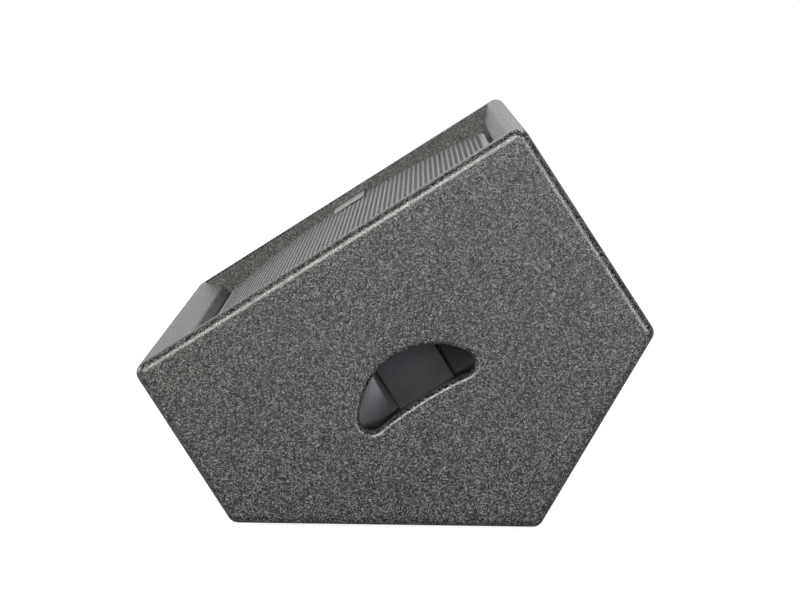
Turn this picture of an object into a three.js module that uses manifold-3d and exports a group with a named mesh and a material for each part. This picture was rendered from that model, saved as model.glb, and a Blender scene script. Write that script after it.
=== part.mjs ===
// Stage monitor wedge: a two-way floor monitor loudspeaker in a five-sided plywood cabinet.
//
// Units are millimetres. Everything is built in the cabinet's own frame, as if it stood on its lower end:
//   X runs across the width, with the carrying handle in the +X end panel and the pole socket in the -X one,
//   Y runs into the cabinet, with 0 on the front edges,
//   Z runs along the front, with 0 on the lower edge and FRONT on the upper edge.
// At the end the whole cabinet is turned about X so that its sloping floor board lies level.

import * as THREE from 'three';
import { mergeVertices } from 'three/addons/utils/BufferGeometryUtils.js';
import Module from 'manifold-3d';

const wasm = await Module();
wasm.setup();

// ---------------------------------------------------------------- driving dimensions

const WIDTH = 600;
const FRONT = 400;
const BOARD = 15;
const EDGE_RADIUS = 10;
const GAP = 0.3;

// Corners of the end panels, as (depth, height along the front).
const LOWER_FRONT = new THREE.Vector2(0, 0);
const UPPER_FRONT = new THREE.Vector2(0, FRONT);
const UPPER_REAR = new THREE.Vector2(215.5, 403);
const LOWER_REAR = new THREE.Vector2(161, 0);
const HEEL = new THREE.Vector2(308, 226);

const LIP_BEVEL = 15;
const BAFFLE_DEPTH = 48;
const BAFFLE_THICKNESS = 18;

const GRILLE_SHEET = 1.5;
const GRILLE_END_MARGIN = 36;
const GRILLE_END_DEPTH = 24.5;
const GRILLE_BOW = 13;
const FOAM = 5;
const BADGE = { width: 46, height: 38, thickness: 3, fromPanel: 4 };

// Half-moon hand hole: a wide arc towards the front, a shallow waist at the rear and two round ends.
const HANDLE = {
  height: 200, arcRadius: 68, endRadius: 13, endSpan: 46.7, endDepth: 148.5, waistRadius: 330,
};
const BOWL_DEPTH = 58;
const BOWL_WALL = 3;
const BOWL_FLANGE = 18;
const BOWL_PLATEAU = { from: 173, to: 231, height: 6 };

const WOOFER = { x: -118, z: 200, frameRadius: 157, cutoutRadius: 141, coilRadius: 31, rimThickness: 5 };
const CONE = { neckRadius: 30.4, neckDepth: 44.6, edgeRadius: 124 };
const SURROUND = { inner: 121, outer: 145.6, rollCentre: 135, rollRadius: 8, thickness: 1.2 };
const SPIDER = { seat: 77, rise: 6, outer: 69.4, pleats: 6, pleatHeight: 1.6, thickness: 0.9 };
const MOTOR = { plateRadius: 70, plateThickness: 8, magnetRadius: 82, magnetThickness: 20, ventRadius: 9 };
const HORN = {
  x: 165, z: 200, width: 196, height: 170, throatRadius: 12.7, depth: 95,
  wall: 3, flange: 4, lap: 8, mouthMargin: 14,
};
const DRIVER = { radius: 50, length: 34, coverRadius: 48, coverDepth: 55, domeRadius: 26 };
const PORT = { x: 214, zInset: 76, radius: 30, wall: 2.5, length: 105 };
const BRACE = { x: 46, thickness: 12, rim: 42 };

const POLE = { z: 200, y: 150, boreRadius: 18, wall: 3, depth: 88, flangeRadius: 52, flangeThickness: 3 };
const DISH = { x: 140, width: 112, height: 74, depth: 32, wall: 2.5, rim: 9, flange: 2.2, corner: 8 };
const SOCKET = { spacing: 34, outerRadius: 15, boreRadius: 12.5, length: 24, flange: 2 };

const CROSSOVER = { x: 150, y: 120, width: 170, depth: 90, standoff: 8 };
const LEAD_RADIUS = 2.2;
const WADDING = 25;

const FOOT = { radius: 17, height: 5, inset: 48 };
const END_FOOT = { radius: 14, height: 5 };

// Centres of the end feet, as (depth, height).
const END_FOOT_PLACES = [[34, 36], [34, FRONT - 36], [188, FRONT - 40], [140, 36]];

// ---------------------------------------------------------------- materials

const paint = { color: 0x4f4f4d, roughness: 0.6, metalness: 0.05 };
const plywood = { color: 0xa98558, roughness: 0.75, metalness: 0 };
const blackSteel = { color: 0x6b6b68, roughness: 0.45, metalness: 0.6 };
const blackPlastic = { color: 0x1f2127, roughness: 0.5, metalness: 0 };
const silverPlate = { color: 0xb4b4b0, roughness: 0.35, metalness: 0.8 };
const rubber = { color: 0x161616, roughness: 0.85, metalness: 0 };
const castAlloy = { color: 0x8a8c8e, roughness: 0.5, metalness: 0.9 };
const paper = { color: 0x262524, roughness: 0.9, metalness: 0 };
const cloth = { color: 0x2b2a28, roughness: 0.95, metalness: 0 };
const amberCloth = { color: 0xa5823c, roughness: 0.9, metalness: 0 };
const ferrite = { color: 0x35363a, roughness: 0.7, metalness: 0.2 };
const zincSteel = { color: 0x9c9fa2, roughness: 0.4, metalness: 0.9 };
const copper = { color: 0xb66a3a, roughness: 0.35, metalness: 0.9 };
const circuitBoard = { color: 0x2f5d3a, roughness: 0.6, metalness: 0 };
const filmCapacitor = { color: 0x9b8a3a, roughness: 0.5, metalness: 0 };
const ceramic = { color: 0xd8d5cc, roughness: 0.8, metalness: 0 };
const greyWool = { color: 0x8b8b86, roughness: 1, metalness: 0 };
const leadSheath = { color: 0x8c1f1c, roughness: 0.6, metalness: 0 };

// ---------------------------------------------------------------- solids

// Merges the vertices of a closed geometry, drops collapsed faces and turns the faces outwards.
function closeSolid(geometry) {
  const bare = geometry.clone();
  bare.deleteAttribute('normal');
  bare.deleteAttribute('uv');
  const merged = mergeVertices(bare, 1e-4);
  const corner = (i) => new THREE.Vector3().fromBufferAttribute(merged.attributes.position, i);
  const faces = [];
  let volume = 0;
  for (let i = 0; i < merged.index.count; i += 3) {
    const [a, b, c] = [0, 1, 2].map((k) => merged.index.getX(i + k));
    if (a === b || b === c || c === a) continue;
    faces.push([a, b, c]);
    volume += corner(a).dot(corner(b).cross(corner(c)));
  }
  merged.setIndex(faces.flatMap(([a, b, c]) => (volume < 0 ? [a, c, b] : [a, b, c])));
  return merged;
}

function toManifold(geometry) {
  const solid = closeSolid(geometry);
  const mesh = new wasm.Mesh({
    numProp: 3,
    vertProperties: new Float32Array(solid.attributes.position.array),
    triVerts: new Uint32Array(solid.index.array),
  });
  return new wasm.Manifold(mesh);
}

function fromManifold(manifold) {
  const mesh = manifold.getMesh();
  const geometry = new THREE.BufferGeometry();
  geometry.setAttribute('position', new THREE.BufferAttribute(new Float32Array(mesh.vertProperties), 3));
  geometry.setIndex(new THREE.BufferAttribute(new Uint32Array(mesh.triVerts), 1));
  return geometry;
}

function join(first, ...others) {
  return fromManifold(others.reduce((sum, part) => sum.add(toManifold(part)), toManifold(first)));
}

function cut(body, ...tools) {
  return fromManifold(tools.reduce((rest, tool) => rest.subtract(toManifold(tool)), toManifold(body)));
}

function overlap(body, other) {
  return fromManifold(toManifold(body).intersect(toManifold(other)));
}

// ---------------------------------------------------------------- outlines and shapes

// Points of an arc about (cx, cy), from one angle to another in degrees.
function arcPoints(cx, cy, radius, fromDegrees, toDegrees, steps) {
  return Array.from({ length: steps + 1 }, (_, i) => {
    const angle = THREE.MathUtils.degToRad(fromDegrees + ((toDegrees - fromDegrees) * i) / steps);
    return new THREE.Vector2(cx + radius * Math.cos(angle), cy + radius * Math.sin(angle));
  });
}

// The arc that rounds one corner of an outline, from its incoming side to its outgoing side.
function roundedCorner(before, corner, after, radius, steps = 6) {
  const toBefore = before.clone().sub(corner).normalize();
  const toAfter = after.clone().sub(corner).normalize();
  const halfAngle = Math.acos(THREE.MathUtils.clamp(toBefore.dot(toAfter), -1, 1)) / 2;
  const bisector = toBefore.clone().add(toAfter).normalize();
  const centre = corner.clone().addScaledVector(bisector, radius / Math.sin(halfAngle));
  const start = corner.clone().addScaledVector(toBefore, radius / Math.tan(halfAngle)).sub(centre);
  const end = corner.clone().addScaledVector(toAfter, radius / Math.tan(halfAngle)).sub(centre);
  const turn = Math.atan2(start.x * end.y - start.y * end.x, start.dot(end));
  return Array.from({ length: steps + 1 }, (_, i) =>
    start.clone().rotateAround(new THREE.Vector2(), (turn * i) / steps).add(centre));
}

function circlePoints(cx, cy, radius, steps = 40) {
  return arcPoints(cx, cy, radius, 0, 360 - 360 / steps, steps - 1);
}

// A shape whose outline runs anticlockwise and whose holes run clockwise, as extruding needs.
function outlineShape(points, ...holes) {
  const wind = (loop, clockwise) =>
    (THREE.ShapeUtils.isClockWise(loop) === clockwise ? loop : [...loop].reverse());
  const shape = new THREE.Shape(wind(points, false));
  shape.holes = holes.map((hole) => new THREE.Path(wind(hole, true)));
  return shape;
}

function roundedRectangle(width, height, radius, x = 0, y = 0) {
  const corners = [[-1, -1], [1, -1], [1, 1], [-1, 1]].map(([i, j]) =>
    new THREE.Vector2(x + (i * width) / 2, y + (j * height) / 2));
  return corners.flatMap((corner, i) =>
    roundedCorner(corners[(i + 3) % 4], corner, corners[(i + 1) % 4], radius, 4));
}

function extrude(shape, depth) {
  return new THREE.ExtrudeGeometry(shape, { depth, bevelEnabled: false });
}

// Extrudes a (depth, height) outline across the width, from x0 to x1.
function acrossWidth(shape, x0, x1) {
  const turn = new THREE.Matrix4().makeBasis(
    new THREE.Vector3(0, 1, 0), new THREE.Vector3(0, 0, 1), new THREE.Vector3(1, 0, 0));
  return extrude(shape, x1 - x0).applyMatrix4(turn).translate(x0, 0, 0);
}

// Extrudes an (x, height) outline into the cabinet, from y0 to y1.
function intoCabinet(shape, y0, y1) {
  const turn = new THREE.Matrix4().makeBasis(
    new THREE.Vector3(1, 0, 0), new THREE.Vector3(0, 0, 1), new THREE.Vector3(0, -1, 0));
  return extrude(shape, y1 - y0).applyMatrix4(turn).translate(0, y1, 0);
}

// Turns a closed (radius, along) outline about Y. An outline that touches the axis starts and ends on it.
function turned(points, segments = 28) {
  return new THREE.LatheGeometry(points.map(([radius, along]) => new THREE.Vector2(radius, along)), segments);
}

function turnedRing(inner, outer, y0, y1, segments) {
  return turned([[inner, y0], [outer, y0], [outer, y1], [inner, y1], [inner, y0]], segments);
}

function turnedDisc(radius, y0, y1, segments) {
  return turned([[0, y0], [radius, y0], [radius, y1], [0, y1]], segments);
}

// Skins a stack of rings with equal point counts and closes both ends with fans.
function loft(rings) {
  const count = rings[0].length;
  const centreOf = (ring) => ring.reduce((sum, p) => sum.add(p), new THREE.Vector3()).divideScalar(count);
  const points = [...rings.flat(), centreOf(rings[0]), centreOf(rings[rings.length - 1])];
  const faces = [];
  for (let r = 0; r + 1 < rings.length; r += 1) {
    for (let i = 0; i < count; i += 1) {
      const j = (i + 1) % count;
      const [a, b, c, d] = [r * count + i, r * count + j, (r + 1) * count + j, (r + 1) * count + i];
      faces.push(a, b, c, a, c, d);
    }
  }
  const lastRing = (rings.length - 1) * count;
  for (let i = 0; i < count; i += 1) {
    const j = (i + 1) % count;
    faces.push(rings.length * count, j, i, rings.length * count + 1, lastRing + i, lastRing + j);
  }
  const geometry = new THREE.BufferGeometry().setFromPoints(points);
  return geometry.setIndex(faces);
}

function box(width, depth, height, x, y, z) {
  return new THREE.BoxGeometry(width, depth, height).translate(x, y, z);
}

// ---------------------------------------------------------------- scene

const cabinet = new THREE.Group();

function addMesh(parent, name, geometry, finish) {
  const mesh = new THREE.Mesh(closeSolid(geometry), new THREE.MeshStandardMaterial(finish));
  mesh.name = name;
  parent.add(mesh);
  return mesh;
}

// ---------------------------------------------------------------- cabinet shell

const OUTLINE = [LOWER_FRONT, UPPER_FRONT, UPPER_REAR, HEEL, LOWER_REAR];

function outlineCorner(i) {
  const wrap = (k) => OUTLINE[(k + OUTLINE.length) % OUTLINE.length];
  return roundedCorner(wrap(i - 1), wrap(i), wrap(i + 1), EDGE_RADIUS);
}

// The corner of the inner outline, one board thickness inside corner i of the outer outline.
function innerCorner(i, thickness = BOARD) {
  const before = OUTLINE[(i + OUTLINE.length - 1) % OUTLINE.length];
  const corner = OUTLINE[i];
  const after = OUTLINE[(i + 1) % OUTLINE.length];
  const toBefore = before.clone().sub(corner).normalize();
  const toAfter = after.clone().sub(corner).normalize();
  const halfAngle = Math.acos(toBefore.dot(toAfter)) / 2;
  return corner.clone().addScaledVector(toBefore.add(toAfter).normalize(), thickness / Math.sin(halfAngle));
}

function endPanelShape(hole) {
  return outlineShape(OUTLINE.flatMap((_, i) => outlineCorner(i)), hole);
}

// Distance from the centres of the round ends to the centre of the wide arc, along the depth.
function handleArcRise() {
  return Math.sqrt((HANDLE.arcRadius - HANDLE.endRadius) ** 2 - HANDLE.endSpan ** 2);
}

// The hand hole as (depth, height) points, grown outwards by an offset.
function handleOutline(offset) {
  const { height, arcRadius, endRadius, endSpan, endDepth, waistRadius } = HANDLE;
  const rise = handleArcRise();
  const meet = THREE.MathUtils.radToDeg(Math.atan2(rise, endSpan));
  const waistReach = waistRadius + endRadius;
  const lean = THREE.MathUtils.radToDeg(Math.asin(endSpan / waistReach));
  const waistDepth = endDepth + Math.sqrt(waistReach ** 2 - endSpan ** 2);
  const upperEnd = arcPoints(height + endSpan, endDepth, endRadius + offset, -meet, 90 + lean, 6);
  const waist = arcPoints(height, waistDepth, waistRadius - offset, 270 + lean, 270 - lean, 6);
  const lowerEnd = arcPoints(height - endSpan, endDepth, endRadius + offset, 90 - lean, 180 + meet, 6);
  const frontArc = arcPoints(height, endDepth + rise, arcRadius + offset, 180 + meet, 360 - meet, 14);
  const loop = [...upperEnd, ...waist.slice(1, -1), ...lowerEnd, ...frontArc.slice(1, -1)];
  return loop.map((p) => new THREE.Vector2(p.y, p.x));
}

function buildEndPanels() {
  const handlePanel = endPanelShape(handleOutline(0));
  addMesh(cabinet, 'handle_side_panel', acrossWidth(handlePanel, WIDTH / 2 - BOARD, WIDTH / 2), paint);

  const polePanel = endPanelShape(circlePoints(POLE.y, POLE.z, POLE.boreRadius + POLE.wall + GAP));
  addMesh(cabinet, 'pole_side_panel', acrossWidth(polePanel, -WIDTH / 2, BOARD - WIDTH / 2), paint);
}

// A board between two mitred corners, pulled back half a gap at each mitre.
function mitredBoard(i) {
  const j = (i + 1) % OUTLINE.length;
  const along = OUTLINE[j].clone().sub(OUTLINE[i]).normalize().multiplyScalar(GAP / 2);
  const startArc = outlineCorner(i).slice(3);
  const endArc = outlineCorner(j).slice(0, 4);
  startArc[0].add(along);
  endArc[3].sub(along);
  return outlineShape([...startArc, ...endArc, innerCorner(j).sub(along), innerCorner(i).add(along)]);
}

function buildBoards() {
  const x0 = BOARD - WIDTH / 2 + GAP;
  const x1 = -x0;

  const topEnd = UPPER_REAR.clone().sub(UPPER_FRONT).normalize().multiplyScalar(GAP / 2);
  const topRearArc = outlineCorner(2).slice(0, 4);
  topRearArc[3].sub(topEnd);
  const topInnerFront = new THREE.Vector2(0, FRONT - BOARD);
  const top = [topInnerFront, ...outlineCorner(1), ...topRearArc, innerCorner(2).sub(topEnd)];
  addMesh(cabinet, 'top_board', acrossWidth(outlineShape(top), x0, x1), paint);

  const bottomRearArc = outlineCorner(4).slice(3);
  bottomRearArc[0].x -= GAP / 2;
  const bottomInnerRear = innerCorner(4);
  bottomInnerRear.x -= GAP / 2;
  const bottomInnerFront = new THREE.Vector2(0, BOARD);
  const bottom = [bottomInnerRear, ...bottomRearArc, ...outlineCorner(0), bottomInnerFront];
  addMesh(cabinet, 'bottom_board', acrossWidth(outlineShape(bottom), x0, x1), paint);

  addMesh(cabinet, 'floor_board', acrossWidth(mitredBoard(3), x0, x1), paint);

  const rear = acrossWidth(mitredBoard(2), x0, x1);
  const hole = roundedRectangle(DISH.width + 2 * GAP, DISH.height + 2 * GAP, DISH.corner);
  const opening = extrude(outlineShape(hole), 4 * BOARD).translate(0, 0, -2 * BOARD);
  opening.applyMatrix4(dishFrame.matrix);
  addMesh(cabinet, 'rear_board', cut(rear, opening), paint);
}

function buildLipStrips() {
  const x0 = BOARD - WIDTH / 2 + GAP;
  const rear = BAFFLE_DEPTH - GAP;
  const wall = BOARD + GAP;
  const foot = BOARD + LIP_BEVEL;
  const profile = [
    [0, wall], [LIP_BEVEL - 1, foot - 1.3], [LIP_BEVEL + 1.5, foot], [rear, foot], [rear, wall]];
  const lower = profile.map(([y, z]) => new THREE.Vector2(y, z));
  const upper = profile.map(([y, z]) => new THREE.Vector2(y, FRONT - z));
  addMesh(cabinet, 'lower_lip_strip', acrossWidth(outlineShape(lower), x0, -x0), paint);
  addMesh(cabinet, 'upper_lip_strip', acrossWidth(outlineShape(upper), x0, -x0), paint);
}

function buildBaffle() {
  const x1 = WIDTH / 2 - BOARD - GAP;
  const z0 = BOARD + GAP;
  const z1 = FRONT - BOARD - GAP;
  const outline = [[-x1, z0], [x1, z0], [x1, z1], [-x1, z1]].map(([x, z]) => new THREE.Vector2(x, z));
  const portHole = PORT.radius + PORT.wall + GAP;
  const shape = outlineShape(
    outline,
    circlePoints(WOOFER.x, WOOFER.z, WOOFER.cutoutRadius, 48),
    roundedRectangle(HORN.width - 2 * HORN.lap, HORN.height - 2 * HORN.lap, 10, HORN.x, HORN.z),
    circlePoints(PORT.x, PORT.zInset, portHole, 28),
    circlePoints(PORT.x, FRONT - PORT.zInset, portHole, 28));
  addMesh(cabinet, 'baffle', intoCabinet(shape, BAFFLE_DEPTH, BAFFLE_DEPTH + BAFFLE_THICKNESS), plywood);
}

// A frame inside the shell, between the woofer and the horn, with one large opening.
function buildBrace() {
  const front = BAFFLE_DEPTH + BAFFLE_THICKNESS + GAP;
  const outer = [0, 1, 2, 3, 4].map((i) => innerCorner(i, BOARD + GAP));
  const inner = [0, 1, 2, 3, 4].map((i) => innerCorner(i, BOARD + BRACE.rim));
  [outer, inner].forEach((loop, k) => {
    loop[0].x = front + k * BRACE.rim;
    loop[1].x = front + k * BRACE.rim;
  });
  const frame = acrossWidth(outlineShape(outer, inner), BRACE.x, BRACE.x + BRACE.thickness);
  addMesh(cabinet, 'centre_brace', frame, plywood);
}

// ---------------------------------------------------------------- grille, foam and badge

// Depth of the bowed grille's front surface at a height, moved inwards by an offset.
function grilleDepth(z, offset = 0) {
  const halfChord = FRONT / 2 - GRILLE_END_MARGIN;
  const radius = (halfChord ** 2 + GRILLE_BOW ** 2) / (2 * GRILLE_BOW);
  const centreY = GRILLE_END_DEPTH - GRILLE_BOW + radius;
  return centreY - Math.sqrt((radius - offset) ** 2 - (z - FRONT / 2) ** 2);
}

// Points of the bowed line between two heights.
function bowedLine(z0, z1, offset, steps = 20) {
  return Array.from({ length: steps + 1 }, (_, i) => {
    const z = z0 + ((z1 - z0) * i) / steps;
    return new THREE.Vector2(grilleDepth(z, offset), z);
  });
}

function buildGrille() {
  const x1 = WIDTH / 2 - BOARD - 2 * GAP;
  const z0 = GRILLE_END_MARGIN;
  const z1 = FRONT - GRILLE_END_MARGIN;
  const foot = BAFFLE_DEPTH - GAP;
  const sheet = [
    new THREE.Vector2(foot, z0), ...bowedLine(z0, z1, 0), new THREE.Vector2(foot, z1),
    new THREE.Vector2(foot, z1 - GRILLE_SHEET),
    ...bowedLine(z1 - GRILLE_SHEET, z0 + GRILLE_SHEET, GRILLE_SHEET),
    new THREE.Vector2(foot, z0 + GRILLE_SHEET)];
  addMesh(cabinet, 'grille', acrossWidth(outlineShape(sheet), -x1, x1), blackSteel);

  const skin = GRILLE_SHEET + GAP;
  const foamStart = z0 + skin + GAP;
  const foamEnd = z1 - skin - GAP;
  const foam = [...bowedLine(foamStart, foamEnd, skin), ...bowedLine(foamEnd, foamStart, skin + FOAM)];
  addMesh(cabinet, 'grille_foam', acrossWidth(outlineShape(foam), -x1, x1), cloth);

  const badgeX = -WIDTH / 2 + BOARD + BADGE.fromPanel;
  const badgeFrom = (FRONT - BADGE.height) / 2;
  const badgeTo = (FRONT + BADGE.height) / 2;
  const plate = [
    ...bowedLine(badgeFrom, badgeTo, -GAP - BADGE.thickness, 4), ...bowedLine(badgeTo, badgeFrom, -GAP, 4)];
  const badge = acrossWidth(outlineShape(plate), badgeX, badgeX + BADGE.width);
  addMesh(cabinet, 'badge_plate', badge, silverPlate);
}

// ---------------------------------------------------------------- carrying handle

function buildHandle() {
  const panelInside = WIDTH / 2 - BOARD - GAP;
  const ring = (offset, x) => handleOutline(offset).map((p) => new THREE.Vector3(x, p.x, p.y));
  const floorX = panelInside - BOWL_DEPTH;
  const outside = loft([
    ring(5 + BOWL_WALL, panelInside - 2), ring(5 + BOWL_WALL, panelInside - 25),
    ring(1 + BOWL_WALL, panelInside - 44), ring(-8, floorX)]);
  const inside = loft([
    ring(5, panelInside + 1), ring(5, panelInside - 25),
    ring(0, panelInside - 42), ring(-10, floorX + BOWL_WALL)]);
  const flange = acrossWidth(outlineShape(handleOutline(BOWL_FLANGE)), panelInside - BOWL_WALL, panelInside);
  const { from, to, height } = BOWL_PLATEAU;
  const stepX = floorX + (BOWL_WALL + height) / 2 + 1;
  const stepZ = (from + to) / 2;
  const step = box(BOWL_WALL + height, 2 * HANDLE.arcRadius, to - from, stepX, HANDLE.endDepth, stepZ);
  let bowl = join(cut(join(flange, outside), inside), overlap(outside, step));
  handleScrewPlaces().forEach(([y, z]) => {
    const hole = new THREE.CylinderGeometry(2.4, 2.4, 12, 12).rotateZ(Math.PI / 2);
    bowl = cut(bowl, hole.translate(panelInside, y, z));
  });
  addMesh(cabinet, 'handle_bowl', bowl, blackPlastic);

  handleScrewPlaces().forEach(([y, z], i) => {
    const head = panelInside - BOWL_WALL - GAP;
    const screw = turned([[0, 0], [4.2, 0], [4.2, -1.4], [2.4, -2.8], [0, -2.8]], 16).rotateZ(-Math.PI / 2);
    const shank = new THREE.CylinderGeometry(1.9, 1.9, 3.4, 12).rotateZ(Math.PI / 2).translate(1.6, 0, 0);
    addMesh(cabinet, `handle_screw_${i + 1}`, join(screw, shank).translate(head, y, z), zincSteel);
  });
}

// Screw places on the bowl's flange, as (depth, height): two behind the waist, two on the arc.
function handleScrewPlaces() {
  const { height, arcRadius, endRadius, endSpan, endDepth } = HANDLE;
  const margin = 13;
  const arcCentre = endDepth + handleArcRise();
  const shoulder = (arcRadius + margin) * Math.SQRT1_2;
  return [-1, 1].flatMap((side) => [
    [endDepth + endRadius + margin, height + side * endSpan],
    [arcCentre - shoulder, height + side * shoulder]]);
}

// ---------------------------------------------------------------- woofer

// The woofer's frame: Y runs back along its axis, with 0 on the front of the baffle.
const woofer = new THREE.Group();
woofer.position.set(WOOFER.x, BAFFLE_DEPTH, WOOFER.z);
cabinet.add(woofer);

const RIM_BACK = -GAP;
const RIM_FRONT = RIM_BACK - WOOFER.rimThickness;

function buildWooferFrame() {
  const rim = WOOFER.frameRadius;
  const shell = turned([
    [128, RIM_FRONT], [rim, RIM_FRONT], [rim, RIM_BACK], [139, RIM_BACK], [137, 20], [104, 54], [88, 70],
    [88, SPIDER.seat], [70, SPIDER.seat], [70, 70], [100, 50], [131, 18], [131, RIM_BACK - 2],
    [128, RIM_BACK - 2], [128, RIM_FRONT]], 32);
  const windows = Array.from({ length: 6 }, (_, i) =>
    box(60, 30, 46, 112, 42, 0).rotateY(((i + 0.5) * Math.PI) / 3));
  addMesh(woofer, 'woofer_basket', cut(shell, ...windows), castAlloy);
  addMesh(woofer, 'woofer_gasket', turnedRing(146, 156, RIM_FRONT - 2.3, RIM_FRONT - GAP, 32), cloth);
  const terminal = box(26, 3, 14, 0, SPIDER.seat + GAP + 1.5, 78);
  addMesh(woofer, 'woofer_terminal', terminal, blackPlastic);
}

// Ring magnet between a top plate and a back plate that carries the vented pole piece.
function buildWooferMotor() {
  const { plateRadius, plateThickness, magnetRadius, magnetThickness, ventRadius } = MOTOR;
  const topPlateBack = SPIDER.seat + plateThickness;
  const magnetBack = topPlateBack + magnetThickness;
  const poleRadius = WOOFER.coilRadius - 2.4;
  const topPlate = turnedRing(WOOFER.coilRadius + 1.6, plateRadius, SPIDER.seat + GAP, topPlateBack);
  addMesh(woofer, 'woofer_top_plate', topPlate, zincSteel);
  const magnet = turnedRing(WOOFER.coilRadius + 8, magnetRadius, topPlateBack + GAP, magnetBack);
  addMesh(woofer, 'woofer_magnet', magnet, ferrite);
  const backPlateBack = magnetBack + plateThickness;
  const backPlate = turned([
    [ventRadius, SPIDER.seat + 2], [poleRadius, SPIDER.seat + 2], [poleRadius, magnetBack + GAP],
    [plateRadius, magnetBack + GAP], [plateRadius, backPlateBack], [ventRadius, backPlateBack],
    [ventRadius, SPIDER.seat + 2]]);
  addMesh(woofer, 'woofer_back_plate', backPlate, zincSteel);
}

function buildWooferCone() {
  const coil = WOOFER.coilRadius;
  const { neckRadius, neckDepth, edgeRadius } = CONE;
  addMesh(woofer, 'woofer_voice_coil', turnedRing(coil - 0.9, coil + 0.9, neckDepth + 1.8, 94), copper);

  const cone = turned([
    [neckRadius, neckDepth], [neckRadius, neckDepth + 1.5], [neckRadius + 4.1, neckDepth + 1.5],
    [edgeRadius - 2.8, RIM_FRONT + 1.4], [edgeRadius, RIM_FRONT + 1.4], [edgeRadius, RIM_FRONT],
    [edgeRadius - 3.2, RIM_FRONT], [neckRadius + 3.1, neckDepth], [neckRadius, neckDepth]], 32);
  addMesh(woofer, 'woofer_cone', cone, paper);

  const cap = turned([
    [0, 24], [16, 26], [30, 31.2], [41, 39.7], [39.7, 40.3], [30, 33], [16, 27.8], [0, 25.8]], 24);
  addMesh(woofer, 'woofer_dust_cap', cap, paper);
}

// The surround is one round roll from the cone's edge to the rim. The spider is a shallow pleated disc.
function buildWooferSuspension() {
  const { inner, outer, rollCentre, rollRadius, thickness } = SURROUND;
  const half = 0.5;
  const land = RIM_FRONT - GAP - half;
  const roll = (radius, from, to) => arcPoints(rollCentre, land, radius, from, to, 5).map((p) => [p.x, p.y]);
  const surround = [
    [inner, land + half], [inner, land - half], ...roll(rollRadius + thickness / 2, 184, 356),
    [outer, land - half], [outer, land + half], ...roll(rollRadius - thickness / 2, 354, 186),
    [inner, land + half]];
  addMesh(woofer, 'woofer_surround', turned(surround, 32), rubber);

  const spiderInner = WOOFER.coilRadius + 1.4;
  const { seat, rise, pleats, pleatHeight } = SPIDER;
  const face = Array.from({ length: pleats + 1 }, (_, i) => [
    spiderInner + ((SPIDER.outer - spiderInner) * i) / pleats,
    seat - rise + (i % 2 ? pleatHeight : -pleatHeight)]);
  const back = face.map(([radius, along]) => [radius, along + SPIDER.thickness]).reverse();
  addMesh(woofer, 'woofer_spider', turned([...face, ...back, face[0]], 24), amberCloth);
}

// ---------------------------------------------------------------- horn and compression driver

// A horn cross-section: a circle at the throat that becomes a rounded rectangle at the mouth.
function hornRing(t, wall, y) {
  const flare = t ** 1.7;
  const { width, height, throatRadius, mouthMargin } = HORN;
  const halfWidth = THREE.MathUtils.lerp(throatRadius, width / 2 - mouthMargin, flare) + wall;
  const halfHeight = THREE.MathUtils.lerp(throatRadius, height / 2 - mouthMargin, flare) + wall;
  const power = THREE.MathUtils.lerp(2, 7, Math.sqrt(flare));
  return Array.from({ length: 24 }, (_, i) => {
    const angle = (i * Math.PI) / 12;
    const cosine = Math.cos(angle);
    const sine = Math.sin(angle);
    const reach = (Math.abs(cosine) ** power + Math.abs(sine) ** power) ** (-1 / power);
    return new THREE.Vector3(HORN.x + halfWidth * cosine * reach, y, HORN.z + halfHeight * sine * reach);
  });
}

const HORN_MOUTH = BAFFLE_DEPTH - GAP - HORN.flange;
const DRIVER_FRONT = HORN_MOUTH + HORN.depth + GAP;

function buildHorn() {
  const throat = HORN_MOUTH + HORN.depth;
  const steps = [0, 0.25, 0.5, 0.75, 1];
  const outside = loft(steps.map((t) => hornRing(t, HORN.wall, throat - t * (HORN.depth - 1))));
  const inside = loft(steps.map((t) => hornRing(t, 0, throat + 1 - t * (HORN.depth + 2))));
  const flangeShape = outlineShape(roundedRectangle(HORN.width, HORN.height, 10, HORN.x, HORN.z));
  const flange = intoCabinet(flangeShape, HORN_MOUTH, HORN_MOUTH + HORN.flange);
  const throatFlange = turnedDisc(38, throat - 5, throat, 24).translate(HORN.x, 0, HORN.z);
  addMesh(cabinet, 'hf_horn', cut(join(flange, outside, throatFlange), inside), blackPlastic);

}

function buildDriver() {
  const { radius, length, coverRadius, coverDepth, domeRadius } = DRIVER;
  const front = DRIVER_FRONT;
  const back = front + length;
  const bore = HORN.throatRadius;
  const body = turned([
    [bore, front], [36, front], [36, front + 6], [radius, front + 6], [radius, back], [27, back],
    [27, front + 26], [bore, front + 20], [bore, front]]);
  addMesh(cabinet, 'hf_driver_motor', body.translate(HORN.x, 0, HORN.z), ferrite);

  // A thin spherical dome, cut off at the voice coil's radius.
  const domeArc = (reach) =>
    arcPoints(0, front + 53, reach, 270, 320, 4).map((p) => [Math.max(p.x, 0), p.y]);
  const domeProfile = [...domeArc(domeRadius), ...domeArc(domeRadius - 0.8).reverse()];
  domeProfile[0][0] = 0;
  domeProfile[domeProfile.length - 1][0] = 0;
  addMesh(cabinet, 'hf_diaphragm', turned(domeProfile, 24).translate(HORN.x, 0, HORN.z), silverPlate);

  const end = front + coverDepth;
  const cover = turned([
    [0, end - 4], [coverRadius - 4, end - 4], [coverRadius - 4, back + GAP], [coverRadius, back + GAP],
    [coverRadius, end - 3], [coverRadius - 4, end], [0, end]]);
  addMesh(cabinet, 'hf_driver_cover', cover.translate(HORN.x, 0, HORN.z), blackPlastic);
}

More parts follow.
